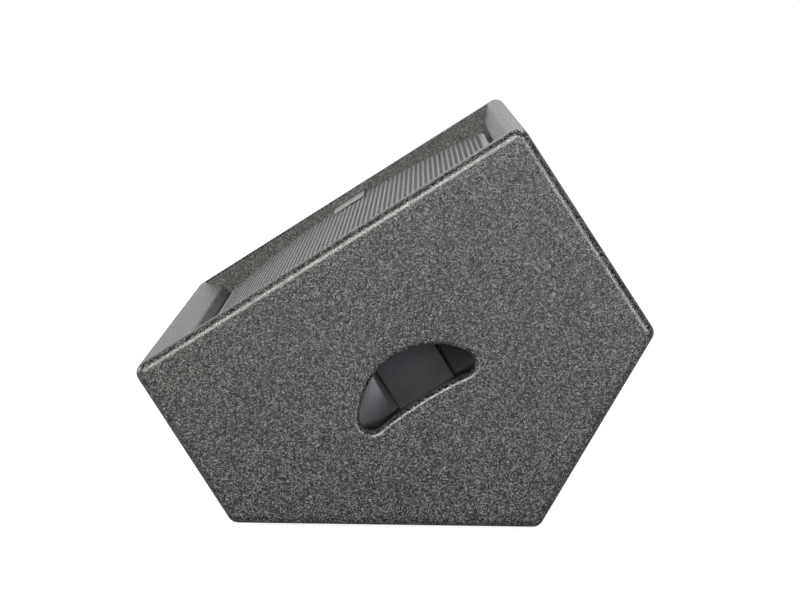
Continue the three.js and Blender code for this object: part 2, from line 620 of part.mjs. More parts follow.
function buildPorts() {
  const front = BAFFLE_DEPTH - GAP;
  const { radius, wall, length } = PORT;
  const profile = [
    [radius + 2, front - 3], [radius + 7, front - 3], [radius + 7, front], [radius + wall, front],
    [radius + wall, front + length], [radius, front + length], [radius, front + 2], [radius + 2, front - 3]];
  [['lower', PORT.zInset], ['upper', FRONT - PORT.zInset]].forEach(([place, z]) => {
    addMesh(cabinet, `port_tube_${place}`, turned(profile, 24).translate(PORT.x, 0, z), blackPlastic);
  });
}

// ---------------------------------------------------------------- frames on the sloping boards

// A frame on the outside of a sloping board: X across, Y along the board, Z square to it.
function boardFrame(x, origin, towards) {
  const frame = new THREE.Group();
  const along = towards.clone().sub(origin);
  frame.position.set(x, origin.x, origin.y);
  frame.rotation.x = Math.atan2(along.y, along.x);
  frame.updateMatrix();
  cabinet.add(frame);
  return frame;
}

// On the rear board Z points out of the cabinet. On the floor board it points in.
const REAR_MIDDLE = UPPER_REAR.clone().add(HEEL).multiplyScalar(0.5);
const rearFrame = boardFrame(0, REAR_MIDDLE, HEEL);
const dishFrame = boardFrame(DISH.x, REAR_MIDDLE, HEEL);
const floorFrame = boardFrame(0, LOWER_REAR, HEEL);
const FLOOR_LENGTH = HEEL.distanceTo(LOWER_REAR);

// ---------------------------------------------------------------- connector dish

// A part turned about Z instead of Y.
function turnedUpright(points, segments) {
  return turned(points, segments).rotateX(Math.PI / 2);
}

function buildDish() {
  const { width, height, depth, wall, rim, corner } = DISH;
  const plate = (grow, radius, z, thickness) => {
    const outline = roundedRectangle(width + grow, height + grow, radius);
    return extrude(outlineShape(outline), thickness).translate(0, 0, z);
  };
  const tub = plate(0, corner, -depth, depth + 1);
  const hollow = plate(-2 * wall, corner - 2, wall - depth, depth + 20);
  const flange = plate(2 * rim, corner - 2, GAP, DISH.flange);
  const holes = [-1, 0].map((side) =>
    turnedUpright([[0, -60], [SOCKET.outerRadius + GAP, -60], [SOCKET.outerRadius + GAP, 0], [0, 0]], 24)
      .translate(socketX(side), 0, 0));
  const shaftHole = turnedUpright([[0, -60], [4, -60], [4, 0], [0, 0]], 20).translate(socketX(1), 0, 0);
  addMesh(dishFrame, 'connector_dish', cut(join(tub, flange), hollow, ...holes, shaftHole), blackPlastic);
}

function socketX(place) {
  return place * SOCKET.spacing;
}

// A round locking socket: a cup with a flange that rests on the floor of the dish.
function buildSockets() {
  const seat = DISH.wall + GAP - DISH.depth;
  const { outerRadius, boreRadius, length, flange } = SOCKET;
  const cup = [
    [0, seat - length], [outerRadius, seat - length], [outerRadius, seat], [outerRadius + 1.6, seat],
    [outerRadius + 1.6, seat + flange], [boreRadius, seat + flange], [boreRadius, seat - length + 3],
    [0, seat - length + 3]];
  [['in', -1], ['link', 0]].forEach(([name, place]) => {
    const socket = turnedUpright(cup, 20).translate(socketX(place), 0, 0);
    addMesh(dishFrame, `speaker_socket_${name}`, socket, blackPlastic);
  });
}

function buildModeSwitch() {
  const back = -DISH.depth - GAP;
  const seat = DISH.wall - DISH.depth;
  const body = new THREE.BoxGeometry(24, 24, 14).translate(0, 0, back - 7);
  const shaft = turnedUpright([[0, back - 1], [3, back - 1], [3, seat + 9], [0, seat + 9]], 16);
  addMesh(dishFrame, 'mode_switch', join(body, shaft).translate(socketX(1), 0, 0), blackPlastic);

  const knob = turnedUpright([
    [3 + GAP, seat + 0.5], [10, seat + 0.5], [9, seat + 14], [0, seat + 14], [0, seat + 9 + GAP],
    [3 + GAP, seat + 9 + GAP], [3 + GAP, seat + 0.5]], 20);
  const pointer = new THREE.BoxGeometry(2.4, 9, 2).translate(0, -4, seat + 14.8);
  const mesh = addMesh(dishFrame, 'mode_knob', join(knob, pointer), blackPlastic);
  mesh.position.x = socketX(1);
}

// ---------------------------------------------------------------- pole socket and feet

function buildPoleSocket() {
  const { boreRadius, wall, depth, flangeRadius, flangeThickness } = POLE;
  const outside = -WIDTH / 2 - GAP - flangeThickness;
  const cup = [
    [boreRadius, 0], [flangeRadius, 0], [flangeRadius, flangeThickness], [boreRadius + wall, flangeThickness],
    [boreRadius + wall, depth], [0, depth], [0, depth - wall], [boreRadius, depth - wall], [boreRadius, 0]];
  const closed = cup.slice(0, -1);
  const profile = [...closed.slice(6), ...closed.slice(0, 6)];
  const socket = turned(profile, 32).rotateZ(-Math.PI / 2).translate(outside, POLE.y, POLE.z);
  addMesh(cabinet, 'pole_socket', socket, blackPlastic);
}

function footProfile(radius, height) {
  return [[0, 0], [radius, 0], [radius, height * 0.6], [radius - 1.5, height], [0, height]];
}

function buildFeet() {
  const footX = WIDTH / 2 - FOOT.inset;
  const places = [-1, 1].flatMap((side) =>
    [FOOT.inset, FLOOR_LENGTH - FOOT.inset].map((y) => [side * footX, y]));
  places.forEach(([x, y], i) => {
    const foot = turned(footProfile(FOOT.radius, FOOT.height), 24).rotateX(-Math.PI / 2);
    addMesh(floorFrame, `floor_foot_${i + 1}`, foot.translate(x, y, -GAP), rubber);
  });

  END_FOOT_PLACES.forEach(([y, z], i) => {
    const foot = turned(footProfile(END_FOOT.radius, END_FOOT.height), 24).rotateZ(Math.PI / 2);
    addMesh(cabinet, `end_foot_${i + 1}`, foot.translate(-WIDTH / 2 - GAP, y, z), rubber);
  });
}

// ---------------------------------------------------------------- crossover, leads and wadding

function crossoverTop() {
  return BOARD + CROSSOVER.standoff + GAP + 2;
}

function buildCrossover() {
  const { x, y, width, depth, standoff } = CROSSOVER;
  const underside = BOARD + GAP + standoff;
  const board = new THREE.BoxGeometry(width, depth, 2).translate(x, y, underside + 1);
  const pegs = [[-1, -1], [1, -1], [1, 1], [-1, 1]].map(([i, j]) =>
    turnedUpright([[0, 0], [4, 0], [4, standoff + 1], [0, standoff + 1]], 12)
      .translate(x + i * (width / 2 - 8), y + j * (depth / 2 - 8), BOARD + GAP));
  addMesh(floorFrame, 'crossover_board', join(board, ...pegs), circuitBoard);

  const top = crossoverTop() + GAP;
  const coil = (radius, height) => turnedUpright([
    [radius * 0.45, 0], [radius, 0], [radius, height], [radius * 0.45, height], [radius * 0.45, 0]], 24);
  addMesh(floorFrame, 'low_pass_coil', coil(27, 26).translate(x - 54, y - 12, top), copper);
  addMesh(floorFrame, 'high_pass_coil', coil(17, 16).translate(x + 2, y - 24, top), copper);

  const capacitor = (radius, length) => {
    const body = turned([[0, 0], [radius, 0], [radius, length], [0, length]], 20);
    return body.rotateZ(-Math.PI / 2).translate(-length / 2, 0, radius);
  };
  addMesh(floorFrame, 'capacitor_1', capacitor(11, 46).translate(x + 52, y - 26, top), filmCapacitor);
  addMesh(floorFrame, 'capacitor_2', capacitor(9, 38).translate(x + 52, y + 2, top), filmCapacitor);
  addMesh(floorFrame, 'pad_resistor', box(40, 9, 9, x + 52, y + 26, top + 4.5), ceramic);
}

// A lead of round section along a smooth route in the cabinet's frame.
function addLead(name, points) {
  const route = new THREE.CatmullRomCurve3(points);
  const section = outlineShape(circlePoints(0, 0, LEAD_RADIUS, 8));
  const steps = Math.round(route.getLength() / 13);
  const tube = new THREE.ExtrudeGeometry(section, { steps, bevelEnabled: false, extrudePath: route });
  addMesh(cabinet, name, tube, leadSheath);
}

function buildLeads() {
  const at = (x, y, z) => new THREE.Vector3(x, y, z);
  const overCrossover = (x, y, height) =>
    at(CROSSOVER.x + x, CROSSOVER.y + y, crossoverTop() + height).applyMatrix4(floorFrame.matrix);
  const behindSocket = (distance) =>
    at(socketX(-1), 0, DISH.wall - DISH.depth - SOCKET.length - distance).applyMatrix4(dishFrame.matrix);
  const terminal = woofer.position.clone().add(at(0, SPIDER.seat + 2.7, 85.6));
  const coverBack = DRIVER_FRONT + DRIVER.coverDepth + 1;

  addLead('input_lead', [
    behindSocket(GAP), behindSocket(14), at(96, 190, 255), at(88, 192, 205),
    overCrossover(-72, 32, 26), overCrossover(-74, 34, 2 * GAP)]);
  addLead('woofer_lead', [
    overCrossover(-78, 12, 2 * GAP), overCrossover(-80, 12, 16), at(52, 168, 156), at(-20, 180, 205),
    at(-60, 176, 290), terminal.clone().add(at(8, 22, 26)), terminal.clone().add(at(0, 1, 12)), terminal]);
  addLead('hf_lead', [
    overCrossover(20, 36, 2 * GAP), overCrossover(22, 37, 12), at(HORN.x + 21, coverBack + 18, HORN.z - 20),
    at(HORN.x + 20, coverBack, HORN.z - 14)]);
}

// A pad of sound-damping wool on the inside of the rear board.
function buildWadding() {
  const pad = extrude(outlineShape(roundedRectangle(300, 140, 12)), WADDING);
  addMesh(rearFrame, 'damping_wadding', pad.translate(-122, 0, -BOARD - GAP - WADDING), greyWool);
}

// ---------------------------------------------------------------- assembly

buildEndPanels();
buildBoards();
buildLipStrips();
buildBaffle();
buildBrace();
buildGrille();
buildHandle();
buildWooferFrame();
buildWooferMotor();
buildWooferCone();
buildWooferSuspension();
buildHorn();
buildDriver();
buildPorts();
buildDish();
buildSockets();
buildModeSwitch();
buildPoleSocket();
buildFeet();
buildCrossover();
buildLeads();
buildWadding();

const tilt = Math.atan2(HEEL.x - LOWER_REAR.x, HEEL.y - LOWER_REAR.y);
cabinet.rotation.x = tilt - Math.PI / 2;

const monitor = new THREE.Group();
monitor.add(cabinet);
monitor.updateMatrixWorld(true);
const bounds = new THREE.Box3().setFromObject(monitor, true);
const centre = bounds.getCenter(new THREE.Vector3());
cabinet.position.set(-centre.x, -centre.y, -bounds.min.z);

export default monitor;
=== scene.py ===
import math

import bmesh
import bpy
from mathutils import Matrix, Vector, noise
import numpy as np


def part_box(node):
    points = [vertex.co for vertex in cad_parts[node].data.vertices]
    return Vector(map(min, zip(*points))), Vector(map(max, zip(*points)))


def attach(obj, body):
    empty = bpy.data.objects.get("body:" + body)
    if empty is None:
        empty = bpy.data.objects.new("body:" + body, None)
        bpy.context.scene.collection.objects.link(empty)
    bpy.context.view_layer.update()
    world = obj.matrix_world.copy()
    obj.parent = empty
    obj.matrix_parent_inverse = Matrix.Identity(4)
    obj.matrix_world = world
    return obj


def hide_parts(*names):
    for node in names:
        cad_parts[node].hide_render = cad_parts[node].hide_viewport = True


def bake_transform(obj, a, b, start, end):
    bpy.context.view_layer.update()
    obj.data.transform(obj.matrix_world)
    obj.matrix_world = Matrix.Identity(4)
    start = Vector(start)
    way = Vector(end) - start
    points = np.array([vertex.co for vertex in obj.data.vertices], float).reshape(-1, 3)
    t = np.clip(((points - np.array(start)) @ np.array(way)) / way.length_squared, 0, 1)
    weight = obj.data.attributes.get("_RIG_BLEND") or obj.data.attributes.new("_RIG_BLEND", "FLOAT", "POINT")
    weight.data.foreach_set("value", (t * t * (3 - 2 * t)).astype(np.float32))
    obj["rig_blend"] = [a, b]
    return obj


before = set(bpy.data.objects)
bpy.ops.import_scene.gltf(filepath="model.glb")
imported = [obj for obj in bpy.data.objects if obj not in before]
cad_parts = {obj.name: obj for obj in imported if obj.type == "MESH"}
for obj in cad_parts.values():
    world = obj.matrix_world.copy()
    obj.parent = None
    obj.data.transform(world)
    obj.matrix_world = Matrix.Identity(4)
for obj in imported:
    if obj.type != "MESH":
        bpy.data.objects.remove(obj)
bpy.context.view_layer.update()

# Stage monitor wedge: the looks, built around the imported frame.
#
# Lengths are in metres. Pieces are drawn in the cabinet's own frame, as if it stood on its lower end:
#   X runs across the width, with the carrying handle in the +X end panel and the pole socket in the -X one,
#   Y runs into the cabinet, with 0 on the front edges,
#   Z runs along the front, with 0 on the lower edge.
# CABINET takes that frame to the shared one. A flat outline is a list of (depth, height) vectors.

MM = 0.001
MERGE = 1e-6
SHARP = math.radians(30)
CIRCLE_STEPS = 64

# ---- driving dimensions

# Corners of the end panels, as (depth, height along the front).
LOWER_FRONT = Vector((0, 0))
UPPER_FRONT = Vector((0, 0.400))
UPPER_REAR = Vector((0.2155, 0.403))
HEEL = Vector((0.308, 0.226))
LOWER_REAR = Vector((0.161, 0))
OUTLINE = [LOWER_FRONT, UPPER_FRONT, UPPER_REAR, HEEL, LOWER_REAR]

FRONT = UPPER_FRONT.y
EDGE_RADIUS = 0.010
CORNER_STEPS = 12
FACE_ROUNDOVER = 0.0085
HOLE_ROUNDOVER = 0.0044
ROUNDOVER_STEPS = 10
HOLE_SHRINK = 0.002
FRONT_SOFTENING = 0.0018
# Heights on the front edge between which the panels' inner edges are softened.
FRONT_STATIONS = (0.0135, 0.0175, 0.3825, 0.3865)
LIP_BEVEL = 0.015
BAFFLE_DEPTH = 0.048
GAP = 0.0003

GRILLE_SHEET = 0.0015
GRILLE_END_MARGIN = 0.036
GRILLE_END_DEPTH = 0.0245
GRILLE_BOW = 0.013
FOLD_RADIUS = 0.0025
HOLE_PITCH = 0.00658
HOLE_RADIUS = 0.0025
GRILLE_COLUMNS = 85
GRILLE_ROWS = 56
FOAM = 0.005
BADGE = {"width": 0.046, "height": 0.038, "thickness": 0.003, "from_panel": 0.004, "edge": 0.0008}

# The hand hole: two round ends about its middle height, joined by a wide arc in front and a waist behind.
HANDLE = {"height": 0.200, "arc": 0.068, "end": 0.013, "span": 0.0467, "end_depth": 0.1485, "waist": 0.330}
BOWL = {
    "depth": 0.058, "wall": 0.003, "flange": 0.018, "clear": 0.005, "lip": 0.0015, "scoop": 0.010,
    "scoop_power": 1.15, "front_set": 0.004, "rear_set": 0.003, "merge": 2e-5}
# The raised step on the bowl's floor.
STEP = {
    "from": 0.173, "to": 0.231, "height": 0.006, "width": 0.055, "y": 0.136, "edge": 0.0012, "ledge": 0.005}

POLE = {"y": 0.150, "z": 0.200, "bore": 0.018, "wall": 0.003, "depth": 0.088, "flange": 0.052, "thick": 0.003}
BEAD_DISTANCE = 0.006
BEAD_HALF_WIDTH = 0.002
BEAD_HEIGHT = 0.0012
POLE_EDGE = 0.0012
POLE_CHAMFER = 0.0015
POLE_SCREW = 0.004
# The share of the flange's radius at which its screws stand.
POLE_SCREW_CIRCLE = 0.78

DISH = {
    "x": 0.140, "width": 0.112, "height": 0.074, "depth": 0.032, "wall": 0.0025, "rim": 0.009,
    "flange": 0.0025, "fillet": 0.003, "corner": 0.006, "tub_corner": 0.008, "screw": 0.0028, "shaft": 0.004}
SOCKET = {
    "spacing": 0.034, "radius": 0.015, "bore": 0.0125, "length": 0.024, "flange": 0.002, "floor": 0.003,
    "edge": 0.0006, "collar": 0.0016}
# The keyways in a socket's bore, as (degrees round it, width).
KEYWAYS = ((90, 0.005), (210, 0.003), (330, 0.003))
KEYWAY_DEPTH = 0.003
KEYWAY_LENGTH = 0.012
CONTACT_SIZE = (0.0008, 0.004, 0.012)
CONTACT_MIDDLE = 0.010
CONTACT_SINK = 0.0003
CONTACT_EDGE = 0.0002
KNOB = {"bottom": 0.010, "top": 0.009, "height": 0.0135, "flutes": 18}
KNOB_BORE = 0.0033
KNOB_BORE_DEPTH = 0.0088
KNOB_GROOVE = 0.0006
KNOB_LIFT = 0.0005
KNOB_EDGE = 0.0005
# How the knob's side turns into its top: how far in, how far down, and the share of the groove that is left.
KNOB_RIM = ((0, 0.001, 1), (0.0004, 0.0003, 0.5), (0.0012, 0, 0))
POINTER = {"size": (0.0024, 0.009, 0.0022), "out": 0.004, "lift": 0.0007, "edge": 0.0004}
POINTER_LINE = {"size": (0.0009, 0.007, 0.0003), "out": 0.0042, "lift": 0.0019}
DIAL_DEGREES = (-90, -60, -30)
DIAL_RADIUS = 0.0133
DIAL_TICK = (0.0035, 0.0009, 0.0008)
TICK_LIFT = 0.0002
TICK_EDGE = 0.0001

FOOT = {"radius": 0.017, "height": 0.005, "x": 0.252, "inset": 0.048}
END_FOOT = {"radius": 0.014, "height": 0.005}
END_FOOT_PLACES = [(0.034, 0.036), (0.034, 0.364), (0.188, 0.360), (0.140, 0.036)]
FOOT_EDGE = 0.0015

WOOFER = {"x": -0.118, "z": 0.200}
SURROUND = {
    "depth": -0.0061, "middle": 0.135, "front": 0.0086, "back": 0.0074, "cone_edge": 0.121,
    "rim_edge": 0.1456, "half_thickness": 0.0005, "moves": 0.1275, "stays": 0.1425}
SPIDER = {"depth": 0.071, "inner": 0.0324, "outer": 0.0694, "pleats": 6, "wave": 0.0016, "thickness": 0.0009}
SPIDER_CLAMP = 0.001
WADDING = {"x": -0.122, "width": 0.300, "height": 0.140, "thickness": 0.025, "corner": 0.020}
WADDING_EDGE = 0.006
WADDING_CROWN = 0.060

BOARD = (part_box("handle_side_panel")[1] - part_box("handle_side_panel")[0]).x
HALF = (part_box("handle_side_panel")[1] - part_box("pole_side_panel")[0]).x / 2
INSIDE = HALF - BOARD


def cabinet_matrix():
    """The cabinet's frame in the shared one: the pole socket's axis and the sloping floor fix it."""
    tilt = math.atan2(HEEL.x - LOWER_REAR.x, HEEL.y - LOWER_REAR.y)
    turn = Matrix.Rotation(tilt - math.pi / 2, 4, "X")
    low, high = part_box("pole_socket")
    middle = (low + high) / 2
    middle.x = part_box("handle_side_panel")[1].x - HALF
    return Matrix.Translation(middle - turn @ Vector((0, POLE["y"], POLE["z"]))) @ turn


CABINET = cabinet_matrix()

# ---- camera and studio

# Where the camera stands, which way it looks in degrees, and its lens.
CAMERA_PLACE = Vector((2.334, 0.016, 0.464))
CAMERA_YAW = 0.336
CAMERA_PITCH = 7.258
CAMERA_ROLL = 0.75
CAMERA_LENS = 106.65
CAMERA_SENSOR = 36

# Each light's azimuth, elevation, distance, width, height, radiance and colour.
SOFTBOXES = {
    "key_softbox": (-20, 25, 2.6, 1.4, 1.4, 12.5, (1, 0.98, 0.93)),
    "cool_softbox": (31, 11, 2.6, 0.7, 1.1, 16.0, (0.86, 0.90, 1)),
    "back_softbox": (180, 40, 2.6, 2.0, 0.9, 2.5, (1, 1, 0.97)),
    "front_fill": (-100, 14, 2.8, 1.8, 1.2, 6.0, (1, 1, 1)),
    "rear_fill": (120, 64, 2.8, 1.8, 1.2, 5.0, (1, 1, 0.96)),
}
LIGHT_AIM = Vector((HALF, 0, 0.17))
DIM_WALL = 0.07
BRIGHT_WALL = 0.75
FLOOR_SHADE = 0.3
FLOOR_GLOW = 0.93
FLOOR_REACH = 9


def new_object(name, data):
    """An object in the scene for a mesh, a light or a camera."""
    made = bpy.data.objects.new(name, data)
    bpy.context.scene.collection.objects.link(made)
    return made


def mesh_of(name, bm):
    """A mesh from a bmesh, which is used up."""
    mesh = bpy.data.meshes.new(name)
    bm.to_mesh(mesh)
    bm.free()
    return mesh


def facing(direction):
    """The turn that makes a camera or a light look along a direction."""
    return direction.to_track_quat("-Z", "Y").to_matrix().to_4x4()


def add_camera():
    data = bpy.data.cameras.new("camera")
    data.lens = CAMERA_LENS
    data.sensor_width = CAMERA_SENSOR
    camera = new_object("camera", data)
    yaw, pitch, roll = (math.radians(a) for a in (CAMERA_YAW, CAMERA_PITCH, CAMERA_ROLL))
    ahead = Vector((-math.cos(yaw) * math.cos(pitch), -math.sin(yaw) * math.cos(pitch), -math.sin(pitch)))
    camera.matrix_world = Matrix.Translation(CAMERA_PLACE) @ facing(ahead) @ Matrix.Rotation(roll, 4, "Z")
    bpy.context.scene.camera = camera


# ---- materials


def new_node(nodes, kind, **inputs):
    """A shader node with some inputs set. Their names are written with _ for a space."""
    node = nodes.new(f"ShaderNode{kind}")
    for socket, value in inputs.items():
        node.inputs[socket.replace("_", " ")].default_value = value
    return node


class Finish:
    """One procedural material, with short calls for the nodes that its details need."""

    def __init__(self, slot, colour, roughness, metallic=0.0, **inputs):
        self.slot = slot
        self.material = bpy.data.materials.new(slot)
        self.material.use_nodes = True
        self.nodes = self.material.node_tree.nodes
        self.shader = self.nodes["Principled BSDF"]
        self.shader.inputs["Base Color"].default_value = (*colour, 1)
        self.shader.inputs["Roughness"].default_value = roughness
        self.shader.inputs["Metallic"].default_value = metallic
        for socket, value in inputs.items():
            self.shader.inputs[socket.replace("_", " ")].default_value = value
        self.place = self.nodes.new("ShaderNodeTexCoord").outputs["Object"]

    def link(self, start, end):
        self.material.node_tree.links.new(start, end)

    def texture(self, kind, size, **inputs):
        """A texture node with features about size metres across, in the object's own coordinates."""
        node = new_node(self.nodes, f"Tex{kind}", Scale=1 / size, **inputs)
        self.link(self.place, node.inputs["Vector"])
        return node

    def noise(self, size, detail=2.0, stretch=None):
        """Noise, scaled differently along each axis if there is a stretch."""
        node = self.texture("Noise", size, Detail=detail)
        if stretch:
            mapping = new_node(self.nodes, "Mapping", Scale=stretch)
            self.link(self.place, mapping.inputs["Vector"])
            self.link(mapping.outputs["Vector"], node.inputs["Vector"])
        return node.outputs["Fac"]

    def cells(self, size, output="Distance"):
        """A scatter of points: the distance to the nearest one, or its random Color."""
        return self.texture("Voronoi", size).outputs[output]

    def waves(self, size, axis, distortion=0.0):
        node = self.texture("Wave", size, Distortion=distortion)
        node.bands_direction = axis
        return node.outputs["Fac"]

    def sum_of(self, *parts):
        """The weighted sum of some outputs, given as (output, weight) pairs."""
        total = None
        for output, weight in parts:
            node = self.nodes.new("ShaderNodeMath")
            node.operation = "MULTIPLY_ADD"
            self.link(output, node.inputs[0])
            node.inputs[1].default_value = weight
            node.inputs[2].default_value = 0.0
            if total is not None:
                self.link(total, node.inputs[2])
            total = node.outputs["Value"]
        return total

    def colour(self, source, *stops):
        """Colours the surface along a source, by (position, colour) pairs."""
        node = self.nodes.new("ShaderNodeValToRGB")
        elements = node.color_ramp.elements
        while len(elements) < len(stops):
            elements.new(0.5)
        for element, (position, colour) in zip(elements, stops):
            element.position = position
            element.color = (*colour, 1)
        self.link(source, node.inputs["Fac"])
        self.link(node.outputs["Color"], self.shader.inputs["Base Color"])

    def roughness(self, source, low, high):
        node = new_node(self.nodes, "MapRange", To_Min=low, To_Max=high)
        self.link(source, node.inputs["Value"])
        self.link(node.outputs["Result"], self.shader.inputs["Roughness"])

    def bump(self, source, depth):
        """Relief from a source, depth metres between its 0 and 1."""
        node = new_node(self.nodes, "Bump", Strength=1.0, Distance=depth)
        self.link(source, node.inputs["Height"])
        self.link(node.outputs["Normal"], self.shader.inputs["Normal"])
        return self


def grey(level):
    return (level, level, level)


def textured_paint():
    """Hard structured paint: black, with a fine rolled grain of random tone. Its brightest grains are painted
    glints that stand for the grain's peaks catching the light.
    """
    f = Finish("textured_paint", (0.016, 0.016, 0.015), 0.27, Specular_IOR_Level=0.8)
    grain_and_painted_glints = f.cells(0.0008, "Color")
    # Painted highlight: the bright cells of this ramp are painted glints of light on the grain's peaks, laid
    # over the grain's own random tone.
    f.colour(grain_and_painted_glints, (0.36, grey(0.001)), (0.60, grey(0.012)), (0.86, (0.20, 0.20, 0.19)))
    f.roughness(grain_and_painted_glints, 0.20, 0.36)
    return f.bump(f.noise(0.0010, 1.0), 0.00026)


def plywood():
    f = Finish("plywood", (0.40, 0.26, 0.13), 0.7)
    figure = f.noise(0.018, 4.0, (0.12, 1, 1))
    f.colour(figure, (0.35, (0.30, 0.18, 0.085)), (0.65, (0.52, 0.36, 0.20)))
    return f.bump(figure, 0.0003)


def grille_steel():
    """Powder-coated steel sheet."""
    sheen = {"Sheen_Weight": 0.5, "Sheen_Roughness": 0.3}
    f = Finish("grille_steel", grey(0.012), 0.34, Specular_IOR_Level=1.0, **sheen)
    coat = f.noise(0.0007)
    f.colour(coat, (0.3, grey(0.009)), (0.7, grey(0.016)))
    f.roughness(f.noise(0.03), 0.30, 0.40)
    return f.bump(coat, 0.00006)


def foam_backing():
    f = Finish("foam_backing", grey(0.006), 1.0, Specular_IOR_Level=0.1)
    pores = f.cells(0.0011)
    f.colour(pores, (0.1, grey(0.002)), (0.7, grey(0.014)))
    return f.bump(pores, 0.0007)


def badge_metal():
    """Brushed plate."""
    f = Finish("badge_metal", grey(0.26), 0.45, 0.9)
    brushing = f.noise(0.0007, 2.0, (0.05, 1, 1))
    f.colour(brushing, (0.3, grey(0.22)), (0.7, grey(0.32)))
    f.roughness(brushing, 0.40, 0.55)
    return f.bump(brushing, 0.00005)


def moulded_plastic():
    f = Finish("moulded_plastic", (0.009, 0.009, 0.013), 0.42, Specular_IOR_Level=0.75)
    texture = f.noise(0.0006)
    f.colour(f.noise(0.05), (0.3, (0.007, 0.007, 0.011)), (0.7, (0.011, 0.011, 0.016)))
    f.roughness(f.noise(0.02, 3.0), 0.36, 0.48)
    return f.bump(texture, 0.00005)


def cast_alloy():
    f = Finish("cast_alloy", grey(0.42), 0.45, 0.9)
    skin = f.noise(0.0012, 4.0)
    f.colour(f.noise(0.02, 3.0), (0.3, grey(0.34)), (0.7, grey(0.46)))
    f.roughness(skin, 0.35, 0.55)
    return f.bump(skin, 0.00012)


def zinc_steel():
    """Zinc-plated steel with faint spangle."""
    f = Finish("zinc_steel", grey(0.55), 0.32, 1.0)
    spangle = f.cells(0.006)
    f.colour(spangle, (0.1, (0.46, 0.47, 0.49)), (0.8, (0.60, 0.60, 0.60)))
    f.roughness(spangle, 0.24, 0.38)
    return f.bump(f.noise(0.0015, 3.0), 0.00004)


def ferrite():
    f = Finish("ferrite", (0.035, 0.036, 0.040), 0.6)
    grind = f.noise(0.0009, 3.0)
    f.colour(grind, (0.3, grey(0.024)), (0.7, grey(0.05)))
    return f.bump(grind, 0.0001)


def rubber():
    f = Finish("rubber", grey(0.010), 0.7)
    skin = f.noise(0.0009, 3.0)
    f.colour(f.noise(0.01, 3.0), (0.3, grey(0.008)), (0.7, grey(0.016)))
    return f.bump(skin, 0.00008)


def amber_cloth():
    """The spider's cloth: a plain weave, as crossed waves."""
    light = (0.42, 0.26, 0.07)
    thread = 0.0007
    f = Finish("amber_cloth", light, 0.9)
    weave = f.sum_of((f.waves(thread * 3, "X", 0.4), 0.5), (f.waves(thread * 3, "Z", 0.4), 0.5))
    f.colour(weave, (0.2, (0.16, 0.09, 0.02)), (0.8, light))
    return f.bump(weave, thread * 0.4)


def paper_cone():
    f = Finish("paper_cone", grey(0.02), 0.85)
    fibres = f.sum_of((f.noise(0.0035, 5.0, (1, 1, 0.25)), 0.5), (f.noise(0.0035, 5.0, (0.25, 1, 1)), 0.5))
    f.colour(fibres, (0.35, grey(0.012)), (0.65, grey(0.034)))
    return f.bump(fibres, 0.0003)


def titanium_dome():
    f = Finish("titanium_dome", grey(0.6), 0.22, 1.0)
    f.roughness(f.noise(0.004, 3.0), 0.16, 0.3)
    return f.bump(f.noise(0.002), 0.00002)


def copper():
    """Enamelled windings: fine rings of wire."""
    f = Finish("copper", (0.62, 0.25, 0.10), 0.3, 1.0)
    wire = f.waves(0.0028, "Y")
    f.colour(wire, (0.1, (0.30, 0.10, 0.04)), (0.8, (0.70, 0.30, 0.13)))
    return f.bump(wire, 0.0002)


def circuit_board():
    f = Finish("circuit_board", (0.02, 0.10, 0.045), 0.4)
    f.colour(f.noise(0.012, 2.0, (1, 0.2, 1)), (0.48, (0.015, 0.075, 0.035)), (0.52, (0.03, 0.13, 0.06)))
    return f.bump(f.noise(0.0004), 0.00003)


def film_capacitor():
    f = Finish("film_capacitor", (0.42, 0.30, 0.05), 0.35)
    wrap = f.noise(0.004, 2.0, (3, 0.3, 0.3))
    f.colour(wrap, (0.3, (0.36, 0.25, 0.04)), (0.7, (0.48, 0.35, 0.07)))
    return f.bump(wrap, 0.00005)


def ceramic():
    f = Finish("ceramic", (0.65, 0.63, 0.58), 0.75)
    pits = f.noise(0.0008, 3.0)
    f.colour(pits, (0.3, (0.55, 0.53, 0.48)), (0.7, (0.72, 0.70, 0.65)))
    return f.bump(pits, 0.00012)


def lead_sheath():
    f = Finish("lead_sheath", (0.25, 0.012, 0.010), 0.45)
    f.colour(f.noise(0.006), (0.3, (0.20, 0.010, 0.008)), (0.7, (0.30, 0.016, 0.012)))
    return f.bump(f.noise(0.0012), 0.00005)


def wool():
    f = Finish("wool", (0.26, 0.26, 0.24), 1.0, Sheen_Weight=0.4)
    tufts = f.sum_of((f.noise(0.010, 6.0), 0.6), (f.noise(0.002, 4.0), 0.4))
    f.colour(tufts, (0.35, (0.14, 0.14, 0.13)), (0.65, (0.40, 0.40, 0.38)))
    return f.bump(tufts, 0.004)


FINISHES = {finish.slot: finish for finish in (
    textured_paint(), plywood(), grille_steel(), foam_backing(), badge_metal(), moulded_plastic(),
    cast_alloy(), zinc_steel(), ferrite(), rubber(), amber_cloth(), paper_cone(), titanium_dome(), copper(),
    circuit_board(), film_capacitor(), ceramic(), lead_sheath(), wool())}

# ---- mesh helpers


def mend(bm):
    """Joins vertices that lie on each other and turns all faces outwards."""
    bmesh.ops.remove_doubles(bm, verts=bm.verts, dist=MERGE)
    bmesh.ops.recalc_face_normals(bm, faces=bm.faces)


def add_piece(name, bm, slot, stands_for=(), body="cabinet", place=None, crease=40, weighted=True):
    """Makes a piece that rides a body, from a bmesh in the cabinet's frame or in one placed in it."""
    mend(bm)
    bm.transform(CABINET @ place if place else CABINET)
    mesh = mesh_of(name, bm)
    mesh.shade_smooth()
    mesh.set_sharp_from_angle(angle=math.radians(crease))
    mesh.materials.append(FINISHES[slot].material)
    piece = new_object(name, mesh)
    if weighted:
        modifier = piece.modifiers.new("flat faces lead", "WEIGHTED_NORMAL")
        modifier.weight = 100
        modifier.keep_sharp = True
    if body:
        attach(piece, body)
    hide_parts(*stands_for)
    return piece


def across(x, outline):
    """A flat outline as a ring at one place across the width."""
    return [Vector((x, p.x, p.y)) for p in outline]


